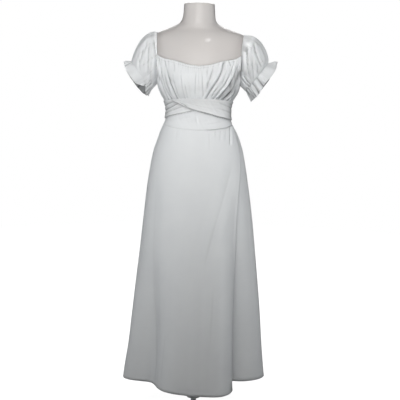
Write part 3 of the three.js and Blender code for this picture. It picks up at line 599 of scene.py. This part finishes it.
# ---- sash
OVER = [  # turn, top, low edge, how far it stands out
    (-46, 1147, 1142.5, 5.4), (-38, 1149, 1136, 5.4), (-14, 1151.5, 1116, 5.4), (20, 1151, 1097, 5.4),
    (41, 1147, 1086, 5.2), (90, 1140, 1073, 1.6), (135, 1136, 1075, 1.6), (167, 1126, 1084, 1.6)]
UNDER = [
    (-167, 1126, 1084, 1.6), (-135, 1136, 1077, 1.6), (-90, 1140, 1076, 1.6), (-57, 1144.5, 1088, 1.6),
    (-32, 1149.5, 1098, 1.6), (-10, 1151.5, 1109, 1.6), (12, 1151.5, 1122, 1.6), (36, 1149, 1143, 1.6)]
OVER_FOLDS = [  # points (turn, share of the width from its lower edge), width, depth, fades in turns
    ([(-41, 0.62), (-30, 0.37), (-19, 0.12)], 0.09, 4.6, (2, 4)),
    ([(-24, 0.62), (0, 0.44), (20, 0.4)], 0.05, 0.5, (8, 10)),
    ([(34, 0.5), (60, 0.42), (90, 0.35)], 0.05, 1.0, (10, 30)),
    ([(30, 0.86), (60, 0.7), (120, 0.6)], 0.05, 1.0, (14, 20)),
    ([(60, 0.85), (110, 0.8), (160, 0.7)], 0.05, 1.0, (14, 10)),
    ([(70, 0.2), (130, 0.25), (165, 0.3)], 0.06, 1.3, (14, 6)),
]
UNDER_FOLDS = [
    ([(-160, 0.4), (-100, 0.42), (-60, 0.5), (-34, 0.7)], 0.055, 2.6, (10, 7)),
    ([(-90, 0.68), (-60, 0.78), (-46, 0.84)], 0.05, 2.4, (14, 6)),
    ([(-165, 0.72), (-120, 0.78), (-80, 0.84)], 0.05, 1.1, (8, 14)),
    ([(-100, 0.22), (-50, 0.32), (-20, 0.5)], 0.06, 1.2, (16, 12)),
    ([(-165, 0.18), (-130, 0.16)], 0.06, 1.0, (8, 14)),
]


SASH_ROWS = {"over": OVER, "under": UNDER}
SASH_FOLDS = {"over": OVER_FOLDS, "under": UNDER_FOLDS}
SASH_EDGES = {part: curves("top low lift", rows) for part, rows in SASH_ROWS.items()}
SASH_COLUMNS = {"over": 220, "under": 200}


def sash_foot(turn):
    return np.minimum(*(edge["low"](turn) for edge in SASH_EDGES.values()))


def sash_stretch(part):
    rows, edge = SASH_ROWS[part], SASH_EDGES[part]
    across, up = grid(SASH_COLUMNS[part], 46)
    turn = mix(rows[0][0], rows[-1][0], across)
    top, low = edge["top"](turn), edge["low"](turn)
    z = mix(low, top, up)
    width = top - low
    wide = ease(width / 20)
    ribs = mix(0.2, 0.6, ease((np.abs(turn) - 40) / 40))
    lift = edge["lift"](turn) + 2.2 + ribs * wide * folds(3 * up + 0.15 * wobble(turn, 80, 71))
    lift = lift + wide * creases(turn, up, SASH_FOLDS[part])
    front = ease((80 - np.abs(turn)) / 30)
    for distance, rolled in ((z - low, 2.0 + 1.4 * front), (top - z, 2.0)):
        near = 1 - np.clip(distance / rolled, 0, 1)
        lift = lift - 0.8 * rolled * (1 - np.sqrt(1 - near ** 2))
    lift = lift + 0.5 * wobble(turn * 2 + z * 0.7, 46, 73) * wide
    if part == "over":
        tint = 1 - mix(0.4, 0.62, ease((turn - 15) / 35)) * front * bump(z - low, 2.6)
        tint = tint * (1 - 0.36 * ease((turn - 48) / 28) * ease((130 - turn) / 40))
    else:
        tint = near_shade(SASH_EDGES["over"]["low"](turn) - z, 0.5 * ease((turn + 48) / 4), 3.5)
        tint = tint * (1 - 0.26 * ease((-52 - turn) / 26) * ease((130 + turn) / 40))
        edge_shade = mix(0.35, 0.6, ease((-50 - turn) / 20)) * bump(z - low, 2.2)
        tint = tint * (1 - edge_shade * ease((-20 - turn) / 30) * front)
    return shell("sash_%s_cloth" % part, dress_point(turn, z, lift), 1.4, tint=tint)


def sash_knot():
    """A soft knot: a wrapped band with folds that run over it, and pinched ends."""
    rows, around = 40, 72
    level = np.sin(np.linspace(-1.25, 1.25, rows + 1))[:, None] + np.zeros(around)
    angle = np.linspace(0, 2 * math.pi, around, endpoint=False)[None, :] + 0 * level
    girth = np.sqrt(np.maximum(0, 1 - (level * 0.97) ** 2))
    slanted = np.sin(angle) * 0.6 - level * 0.9
    fold = 1 - 0.07 * folds(2.6 * slanted + 0.3) - 0.1 * bump(np.cos(angle) + level * 0.4, 0.25)
    seat = DRESS["back"](1105) + 1
    outer = np.stack([21 * girth * np.cos(angle) * fold,
                      seat + 9.5 + 8.0 * girth * np.sin(angle) * fold,
                      1105 + 24 * level], -1)
    return shell("sash_knot_cloth", outer, 1.0, tube=True, middle=outer * (0, 0, 1) + (0, seat + 9.5, 0))


def sash_tail(part):
    across, up = grid(44, 110)
    side = {"left": 1, "right": -1}[part]
    top = 1105 - 24 + 2
    z = mix(751, top, up)
    middle = side * mix(34, 13, up)
    half = mix(26, 12, up ** 1.5) * (1 if side == 1 else 0.94)
    x = middle + mix(-half, half, across) * 0.98 + 1.2 * wobble(z, 200, 81 + side)
    turn = 180 - np.degrees(np.arcsin(x / DRESS["side"](z)))
    fold = 2.6 * folds(2 * across + 0.12 * wobble(z, 150, 83 + side))
    fold = fold + 1.3 * folds(5 * across + 0.3 * wobble(z, 90, 85 + side)) * ease((up - 0.4) / 0.5)
    below = np.where(z < 1070, skirt_swing(turn, z), 0)
    lift = np.maximum(0, below) + 3.6 + fold
    return shell("sash_tail_%s_cloth" % part, dress_point(turn, z, lift), 0.9)


# ---- sleeves
CUFF_SLOPE = math.radians(53.6)
CUFF_ALONG = np.array([math.cos(CUFF_SLOPE), 0, math.sin(CUFF_SLOPE)])
CUFF_AXIS = np.array([math.sin(CUFF_SLOPE), 0, -math.cos(CUFF_SLOPE)])
CUFF_MIDDLE = np.array([208, -4, 1230.5])
CUFF_HALF_HEIGHT, CUFF_HALF_DEPTH = 61.5, 47
SLEEVES = {  # side, first gather's turn, then the puff: top x and z, mean, top, front, lean, early, ends
    "left": (1, 20, 160, 1382, 22.5, 20.5, 6, 1, 0.5, 0.6),
    "right": (-1, 65, 152.5, 1386, 13, 12, 2.5, 0.16, 0.8, 0.98)}
FRILLS = {  # angle round the cuff (0 top, 90 front), length, flare
    "left": curves("length flare", [
        (-180, 40, 15), (-135, 42, 10), (-100, 47, 9), (-75, 47, 10), (-45, 38, 15), (0, 28, 35),
        (30, 36, 21), (60, 40, 9), (85, 37, 7), (100, 38, 7), (120, 42, 8), (135, 43, 9), (180, 40, 15)]),
    "right": curves("length flare", [
        (-180, 22, 13), (-135, 37, 10), (-97, 42, 9), (-60, 40, 8), (-30, 32, 10), (0, 24, 18),
        (30, 30, 9), (60, 33, 3), (90, 33, 1), (105, 30, 1), (117, 20, 2), (129, 10, 3),
        (142, 20, 7), (158, 25, 9), (180, 22, 13)])}
SLEEVE_CREASES = {
    "left": [  # points (z, x), width, depth, fades
        ([(1343, 165), (1290, 169), (1234, 178)], 4.2, 2.8, (12, 12)),
        ([(1354, 190), (1308, 205), (1270, 221)], 4.2, 3.0, (12, 12)),
        ([(1334, 224), (1292, 240), (1264, 233)], 3.6, 2.4, (10, 14)),
        ([(1284, 205), (1242, 211)], 3.6, 2.2, (8, 18)),
        ([(1290, 145), (1240, 156)], 3.6, 2.4, (10, 14)),
        ([(1222, 144), (1204, 158), (1190, 175)], 2.6, 2.8, (5, 4)),
        ([(1228, 152), (1209, 165), (1197, 181)], 2.3, 2.4, (5, 4)),
        ([(1234, 161), (1216, 173), (1206, 187)], 2.2, 1.6, (5, 4)),
        ([(1360, 176), (1330, 184)], 3.2, 1.6, (14, 8)),
        ([(1300, 186), (1250, 192), (1222, 196)], 3.6, 1.8, (8, 18)),
    ],
    "right": [
        ([(1337, 178), (1284, 180), (1232, 181)], 4.2, 2.6, (12, 14)),
        ([(1326, 199), (1277, 209)], 3.8, 2.2, (14, 12)),
        ([(1355, 161), (1285, 153), (1215, 154)], 4.0, 2.6, (12, 14)),
        ([(1284, 170), (1204, 175)], 3.6, 2.2, (14, 16)),
        ([(1291, 213), (1249, 210)], 3.6, 1.8, (14, 14)),
        ([(1350, 186), (1310, 194)], 3.4, 1.6, (14, 10)),
    ],
}
HIDDEN_SLEEVE_CREASES = [  # on the back of both sleeves
    ([(1350, 168), (1290, 172), (1230, 182)], 4.2, 2.6, (12, 14)),
    ([(1345, 196), (1290, 212)], 4.0, 2.6, (14, 12)),
    ([(1300, 186), (1240, 196)], 3.8, 2.2, (14, 16)),
    ([(1310, 152), (1240, 160)], 3.8, 2.2, (14, 16)),
    ([(1330, 226), (1280, 238)], 3.6, 1.8, (12, 14)),
]


def armhole_point(angle, top_x, top_z):
    around = apart(angle, 0)
    down = np.abs(around) / 180
    facing = np.where(around >= 0, -1, 1)

    def seam_depth(z):
        reach = np.minimum(1, ARMHOLE / DRESS["side"](z))
        depth = np.where(facing < 0, DRESS["front"](z), DRESS["back"](z))
        return depth * np.sqrt(1 - reach ** 2)

    arc = np.clip(down / 0.46, 0, 1) * (math.pi / 2)
    y_top = seam_depth(1305.0) * np.sin(arc) ** 0.87
    z_top = mix(1305, top_z, np.maximum(0, np.cos(arc)) ** 0.87)
    x_top = mix(top_x, 149.9, ease(down / 0.46))
    below = np.clip((down - 0.46) / 0.54, 0, 1)
    z_low = mix(1204, 1305, (1 - below) ** 1.6)
    upper = down < 0.46
    x = np.where(upper, x_top, 149.9)
    y = facing * np.where(upper, y_top, seam_depth(z_low))
    return np.stack([x, y, np.where(upper, z_top, z_low)], -1)


CUFF_FRONT = {"left": (92, 30, 4), "right": (80, 46, 9)}  # where no cuff shows: turn, spread, fullness
UNDERARM = {"left": (158, 34, 13, 3.0), "right": (150, 32, 14, 5.5)}  # turn, spread, turn each, depth


def cuff_front(name, angle):
    at, spread, _ = CUFF_FRONT[name]
    return bump(apart(angle, at), spread)


def underarm_gathers(name, angle):
    """How far the gathers under the arm stand out, and the tint of the cloth between them."""
    at, spread, each, depth = UNDERARM[name]
    ridges = folds((angle + 3 * wobble(angle, 60, 121)) / each)
    window = bump(apart(angle, at), spread)
    tint = 1 - 0.2 * bump(apart(angle, 168), 26) - 0.3 * (1 - ridges) ** 2 * window
    return depth * (ridges - 0.6) * window, tint


def cuff_point(angle):
    up = (np.cos(np.radians(angle)) * CUFF_HALF_HEIGHT)[..., None]
    forward = np.sin(np.radians(angle)) * CUFF_HALF_DEPTH
    ahead = np.stack([0 * forward, -forward, 0 * forward], -1)
    return CUFF_MIDDLE + CUFF_ALONG * up + ahead


def sleeve(name):
    side, first, top_x, top_z, mean, more, ahead, lean, early, ends = SLEEVES[name]
    angle, up = tube_grid(390, 70)
    cosine = np.cos(np.radians(angle))
    chord = armhole_point(angle, top_x, top_z) * (1 - up[..., None]) + cuff_point(angle) * up[..., None]
    middle = np.array([ARMHOLE, 0, 1294]) * (1 - up[..., None]) + CUFF_MIDDLE * up[..., None]
    radial = chord - middle
    radial /= np.linalg.norm(radial, axis=-1, keepdims=True)
    out = radial + CUFF_AXIS * (lean * (1 + cosine))[..., None]
    out /= np.linalg.norm(out, axis=-1, keepdims=True)
    fullness = mean + more * cosine + ahead * np.sin(np.radians(angle)) ** 2
    swell = np.maximum(0, np.sin(math.pi * up ** early)) ** ends
    base = chord + out * (swell * fullness)[..., None]
    x, z = base[..., 0], base[..., 2]
    phase = (angle * 13 + first) / 360 + 0.3 * wobble(angle, 150, 91) + 0.12 * wobble(up * 100, 90, 93)
    shrink = 0.35 + 0.65 * fullness / (mean + more)
    lift = (folds(phase) - 0.4) * mix(mix(1.8, 2.6, up), 4.2, swell) * shrink
    around = angle * 1.1
    top_length = np.maximum(0.05, 0.17 + 0.1 * wobble(around, 60, 95))
    low_length = np.maximum(0.05, 0.15 + 0.09 * wobble(around, 50, 97))
    lift = lift + 1.5 * gathers(around, 7.5, 99 + side) * fading(up, top_length)
    lift = lift + 1.6 * gathers(around, 7, 103 + side) * fading(1 - up, low_length)
    front = cuff_front(name, angle)
    lift = lift * (1 - 0.85 * front * ease((up - 0.6) / 0.4))
    lift = lift + CUFF_FRONT[name][2] * front * ease((up - 0.45) / 0.55)
    gathered, shaded = underarm_gathers(name, angle)
    lift = lift + gathered * ease((up - 0.45) / 0.35)
    facing_front = ease((-base[..., 1] + 8) / 16)
    lift = lift + facing_front * creases(z, x, SLEEVE_CREASES[name], 2.1)
    lift = lift + (1 - facing_front) * creases(z, x, HIDDEN_SLEEVE_CREASES, 2.1)
    lift = lift * ease(up / 0.03 + 0.3)
    points = (base + radial * lift[..., None]) * (side, 1, 1)
    tint = mix(1, shaded, ease((up - 0.4) / 0.45)) * (0.94 if side > 0 else 1)
    tint = tint + 0.22 * ease((0.1 - up) / 0.08) * ease((cosine + 0.2) / 0.4)
    middle = middle * (side, 1, 1)
    return shell("sleeve_%s_cloth" % name, points, tube=True, middle=middle, tint=tint)


FRILL_WAVES = {  # first wave's turn, wave depth, then pleats: angle at the edge, width, depth, slant
    "left": (15, 3, [
        (101, 7, 11, 10), (128, 6, 8, 12), (143, 4, 6, 12), (156, 4, 6, 10), (170, 4, 6, 6), (200, 8, 8, 0),
        (236, 7, 6, 0), (275, 8, 8, 0), (318, 8, 6, 0), (36, 9, 1.2, 4)]),
    "right": (60, 2, [
        (128, 5, 4, 8), (141, 4, 5, 8), (153, 4, 5, 6), (166, 4, 5, 4), (178, 4, 4, 0), (192, 5, 4, 0),
        (214, 7, 6, 0), (248, 8, 7, 0), (290, 8, 6, 0), (330, 6, 5, 0), (10, 5, 8, 3), (30, 4, 4, 6)]),
}


def frill(name):
    side = SLEEVES[name][0]
    first, wave, pleats = FRILL_WAVES[name]
    angle, up = tube_grid(300, 30)
    around = apart(angle, 0)
    length, flare = FRILLS[name]["length"](around), FRILLS[name]["flare"](around)
    start = cuff_point(angle)
    radial = start - CUFF_MIDDLE
    radial /= np.linalg.norm(radial, axis=-1, keepdims=True)
    lift = np.cos(np.radians(angle * 8 + first)) * wave * up ** 0.8
    gathered, tint = underarm_gathers(name, angle)
    tint = tint * (1 - 0.16 * bump(apart(angle, 158), 20) * ease((up - 0.3) / 0.5))
    for at, wide, depth, slant in pleats:
        valley = trough(apart(angle, at - slant * (1 - up)) / wide)
        lift = lift + depth * (0.25 + 0.75 * up) * valley
        tint = tint * (1 + min(0.5, 0.055 * depth) * np.minimum(0, valley) ** 3 * (0.4 + 0.6 * up))
    front = cuff_front(name, angle)
    lift = lift + 1.4 * gathers(angle, 8, 111 + side) * fading(up, 0.3) * (1 - 0.9 * front)
    lift = lift + CUFF_FRONT[name][2] * front * (1 - up) + gathered * (1 - 0.3 * up)
    lift = lift + 0.5 * bump((1 - up) * length - 1.2, 1.3)
    curl = 0.22 * ease((up - 0.7) / 0.3) * bump(apart(angle, 0), 30)
    base = start + CUFF_AXIS * (length * up)[..., None] + radial * (flare * (up - curl) + lift)[..., None]
    thickness = mix(FABRIC, 1.7, ease((3 - (1 - up) * length) / 1.0))
    middle = (CUFF_MIDDLE + CUFF_AXIS * (length * up)[..., None]) * (side, 1, 1)
    points = base * (side, 1, 1)
    return shell("frill_%s_cloth" % name, points, thickness, tube=True, middle=middle, tint=tint, inside=0.5)


# ---- form and stand
def form():
    """The form's outside as rings, with its underside and the rounded edge of its neck cap."""
    foot, top, around, rings = 780, 1489, 144, 150
    rows = np.concatenate([[foot] * 3, np.linspace(foot, top - 3, rings), np.add(top, [-1.6, -0.6, 0, 0, 0])])
    inset = np.concatenate([[160, 60, 3], np.zeros(rings), [0.5, 1.3, 3, 20, 54]])[:, None]
    z = rows[:, None] + np.zeros(around)
    turn = np.linspace(0, 360, around, endpoint=False)[None, :] + 0 * z
    outer = section_point(FIGURE, turn, z, 0)
    centre = FIGURE["middle"](z)
    shrink = np.maximum(0.01, 1 - inset / FIGURE["side"](z))
    outer[..., 0] = centre + (outer[..., 0] - centre) * shrink
    outer[..., 1] *= shrink
    j, i = (a.ravel() for a in np.meshgrid(np.arange(len(rows) - 1), np.arange(around), indexing="ij"))
    return add_mesh("form_shell", outer.reshape(-1, 3), ring_faces(j, i, around))


# ---- materials
WEAVE = 0.0005  # metres from one thread to the next


def add_node(tree, kind, values=None, sources=None, **settings):
    """A shader node with its settings, the values of its inputs and the sockets that feed them."""
    made = tree.nodes.new("ShaderNode" + kind)
    for name, value in settings.items():
        setattr(made, name, value)
    for name, value in (values or {}).items():
        made.inputs[name].default_value = value
    for name, source in (sources or {}).items():
        tree.links.new(source, made.inputs[name])
    return made


def material(name, colour, roughness, **values):
    made = bpy.data.materials.new(name)
    made.use_nodes = True
    shader = made.node_tree.nodes["Principled BSDF"]
    shader.inputs["Base Color"].default_value = (*colour, 1)
    shader.inputs["Roughness"].default_value = roughness
    for key, value in values.items():
        shader.inputs[key.replace("_", " ")].default_value = value
    return made, made.node_tree, shader


def noise(tree, source, scale, detail):
    return add_node(tree, "TexNoise", {"Scale": scale, "Detail": detail}, {"Vector": source}).outputs["Fac"]


def mottled(tree, colour, darker, scale, source):
    """A colour that varies softly over the surface."""
    ramp = add_node(tree, "ValToRGB", None, {"Fac": noise(tree, source, scale, 4)})
    for element, position, shade in zip(ramp.color_ramp.elements, (0.3, 0.7), (darker, colour)):
        element.position = position
        element.color = (*shade, 1)
    return ramp.outputs["Color"]


def bumped(tree, height, strength, distance, below=None):
    """The normal with one more layer of bumps."""
    sources = {"Height": height} if below is None else {"Height": height, "Normal": below}
    return add_node(tree, "Bump", {"Strength": strength, "Distance": distance}, sources).outputs["Normal"]


def cloth_material(name, colour, darker, crinkle):
    """Matt woven polyester: a fine weave along the grain, with a slight crepe over it."""
    made, tree, shader = material(
        name, colour, 0.86, Sheen_Weight=0.08, Sheen_Roughness=0.5, Specular_IOR_Level=0.3)
    grain = add_node(tree, "UVMap", uv_map="grain").outputs["UV"]
    place = add_node(tree, "TexCoord").outputs["Object"]
    shade = add_node(tree, "Attribute", attribute_name="shade").outputs["Fac"]
    plain = mottled(tree, colour, darker, 9, place)
    tinted = add_node(tree, "VectorMath", None, {0: plain, "Scale": shade}, operation="SCALE")
    tree.links.new(tinted.outputs["Vector"], shader.inputs["Base Color"])
    bumps = None
    for direction in ("X", "Y"):
        threads = {"Scale": 0.5 / WEAVE / (2 * math.pi), "Distortion": 0.6, "Detail": 1}
        wave = add_node(tree, "TexWave", threads, {"Vector": grain}, bands_direction=direction)
        bumps = bumped(tree, wave.outputs["Fac"], 0.12, 0.00008, bumps)
    for scale, distance, strength in ((900, 0.00012, 0.35), (130, 0.0007, crinkle)):
        bumps = bumped(tree, noise(tree, place, scale, 3), strength, distance, bumps)
    tree.links.new(bumps, shader.inputs["Normal"])
    return made


def hard_material(name, colour, darker, roughness, scale, distance, coat=0.0):
    """A smooth moulded or painted surface with a faint unevenness."""
    made, tree, shader = material(name, colour, roughness, Coat_Weight=coat, Coat_Roughness=0.14)
    place = add_node(tree, "TexCoord").outputs["Object"]
    tree.links.new(mottled(tree, colour, darker, 6, place), shader.inputs["Base Color"])
    bumps = bumped(tree, noise(tree, place, scale, 2), 0.2, distance)
    tree.links.new(bumps, shader.inputs["Normal"])
    return made


CLOTH = cloth_material("white_crepe", (0.82, 0.835, 0.85), (0.79, 0.805, 0.825), 0.1)
SASH_CLOTH = cloth_material("white_crepe_bias", (0.82, 0.83, 0.84), (0.79, 0.80, 0.815), 0.12)
FORM = hard_material("moulded_form", (0.64, 0.615, 0.606), (0.67, 0.636, 0.622), 0.5, 40, 0.0003, 0.22)
STEEL = hard_material("powder_coat", (0.88, 0.88, 0.875), (0.85, 0.85, 0.845), 0.45, 900, 0.0002)


def dress_up(piece, finish, replaced):
    piece.data.materials.append(finish)
    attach(piece, "root")
    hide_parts(replaced)
    return piece


PIECES = [  # the node it replaces, its maker and which one, flat width and length in metres, how it is held
    ("bodice_front", bodice_front, (), (0.46, 0.17), "gathered"),
    ("bodice_back", bodice_back, (), (0.40, 0.17), "gathered"),
    ("midriff_front", midriff, ("front",), (0.36, 0.11), "stretched"),
    ("midriff_back", midriff, ("back",), (0.35, 0.09), "stretched"),
    ("skirt_front", skirt_front, (), (0.6, 0.97), "hung"),
    ("skirt_under", skirt_under, (), (0.36, 0.97), "hung"),
    ("skirt_back", skirt_back, (), (0.8, 0.97), "hung"),
    ("sash_over", sash_stretch, ("over",), (0.056, 0.46), "stretched"),
    ("sash_under", sash_stretch, ("under",), (0.052, 0.44), "stretched"),
    ("sash_knot", sash_knot, (), (0.08, 0.048), "folded"),
    ("sash_tail_left", sash_tail, ("left",), (0.048, 0.33), "hung"),
    ("sash_tail_right", sash_tail, ("right",), (0.046, 0.33), "hung"),
    ("sleeve_left", sleeve, ("left",), (0.48, 0.13), "gathered"),
    ("sleeve_right", sleeve, ("right",), (0.44, 0.12), "gathered"),
    ("frill_left", frill, ("left",), (0.5, 0.038), "gathered"),
    ("frill_right", frill, ("right",), (0.45, 0.032), "gathered"),
]
for replaced, make, which, flat, held in PIECES:
    slot, finish = ("sash", SASH_CLOTH) if replaced.startswith("sash") else ("cloth", CLOTH)
    piece = dress_up(make(*which), finish, replaced)
dress_up(form(), FORM, "form_torso")
for name in ("stand_pole", "stand_base"):
    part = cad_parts[name]
    part.data.materials.clear()
    part.data.materials.append(STEEL)


# ---- floor, light and camera
def aimed(thing, place, target):
    thing.location = place
    back = np.subtract(place, target)
    thing.rotation_mode = "QUATERNION"
    thing.rotation_quaternion = Vector(-back).to_track_quat("-Z", "Y")
    bpy.context.scene.collection.objects.link(thing)


def area_light(name, place, target, width, height, power, colour=(1, 1, 1)):
    data = bpy.data.lights.new(name, "AREA")
    data.color = colour
    data.shape = "RECTANGLE"
    data.size, data.size_y = width, height
    data.energy = power
    aimed(bpy.data.objects.new(name, data), place, target)


def spot_light(name, place, aim_height, cone, size, power, colour=(1, 1, 1)):
    """A soft spot, whose light fades towards the hem."""
    data = bpy.data.lights.new(name, "SPOT")
    data.color = colour
    data.spot_size = math.radians(cone)
    data.spot_blend = 1.0
    data.shadow_soft_size = size
    data.energy = power
    aimed(bpy.data.objects.new(name, data), place, (0, 0, aim_height))


WARM, COOL = (1, 0.99, 0.965), (0.955, 0.985, 1)
area_light("behind", (0, 2.4, 2.7), (0, 0, 1.0), 1.0, 0.6, 62)
area_light("key", (0, -1.7, 2.2), (0, 0, 1.2), 1.2, 0.8, 16.3, WARM)
area_light("chest", (0, -1.3, 1.1), (0, 0, 1.2), 2.4, 0.3, 2.8, WARM)
spot_light("front", (0, -3.3, 1.2), 1.0, 40, 0.5, 79, COOL)
spot_light("rising", (0, -2.4, 0.3), 1.35, 30, 0.3, 44, WARM)
spot_light("side_left", (-3.2, -0.4, 1.2), 1.0, 55, 0.5, 101, COOL)
spot_light("side_right", (3.2, -0.4, 1.1), 0.95, 55, 0.5, 84, COOL)
spot_light("glint", (0.33, -1.25, 3.0), 1.4, 30, 0.09, 15)


def camera_level(tree, values=None):
    """A level that differs between what the camera sees and what lights the part."""
    path = add_node(tree, "LightPath")
    return add_node(tree, "MapRange", values, {"Value": path.outputs["Is Camera Ray"]})


world = bpy.data.worlds.new("studio")
bpy.context.scene.world = world
world.use_nodes = True
sky = world.node_tree.nodes["Background"]
sky.inputs["Color"].default_value = (1, 1, 1, 1)
level = camera_level(world.node_tree, {"To Min": 0.02, "To Max": 1.0})
world.node_tree.links.new(level.outputs["Result"], sky.inputs["Strength"])

RADII, AROUND = (0, 400, 900, 1800, 4000), 96  # the floor is a disc of rings
rings = np.array(RADII, float)[:, None]
angle = np.linspace(0, 2 * math.pi, AROUND, endpoint=False)
disc = np.stack([rings * np.cos(angle), rings * np.sin(angle), np.full((len(RADII), AROUND), -0.5)], -1)
j, i = (a.ravel() for a in np.meshgrid(np.arange(len(RADII) - 1), np.arange(AROUND), indexing="ij"))
floor = add_mesh("floor", disc.reshape(-1, 3), ring_faces(j, i, AROUND)[:, ::-1])
finish, tree, shader = material("pale_floor", (0.3, 0.3, 0.3), 0.9, Emission_Color=(1, 1, 1, 1))
place = add_node(tree, "TexCoord").outputs["Object"]
reach = add_node(tree, "VectorMath", None, {0: place}, operation="LENGTH").outputs["Value"]
fade = {"From Min": 0.6, "From Max": 3.2, "To Min": 0.96, "To Max": 1.0}  # pale by the stand, white far off
white = add_node(tree, "MapRange", fade, {"Value": reach})
level = camera_level(tree)
tree.links.new(white.outputs["Result"], level.inputs["To Max"])
tree.links.new(level.outputs["Result"], shader.inputs["Emission Strength"])
floor.data.materials.append(finish)

CAMERA_PLACE = (0.012, -3.0, 1.1976)
PITCH, ROLL = math.radians(8), math.radians(1)  # how far it looks down, and how far it leans
camera_data = bpy.data.cameras.new("camera")
camera_data.lens = 73.28
camera_data.sensor_width = 36
camera_data.clip_end = 50
camera = bpy.data.objects.new("camera", camera_data)
bpy.context.scene.collection.objects.link(camera)
aim = Matrix.Rotation(math.pi / 2 - PITCH, 4, "X") @ Matrix.Rotation(ROLL, 4, "Z")
camera.matrix_world = Matrix.Translation(CAMERA_PLACE) @ aim
bpy.context.scene.camera = camera
bpy.context.scene.view_settings.view_transform = "Standard"
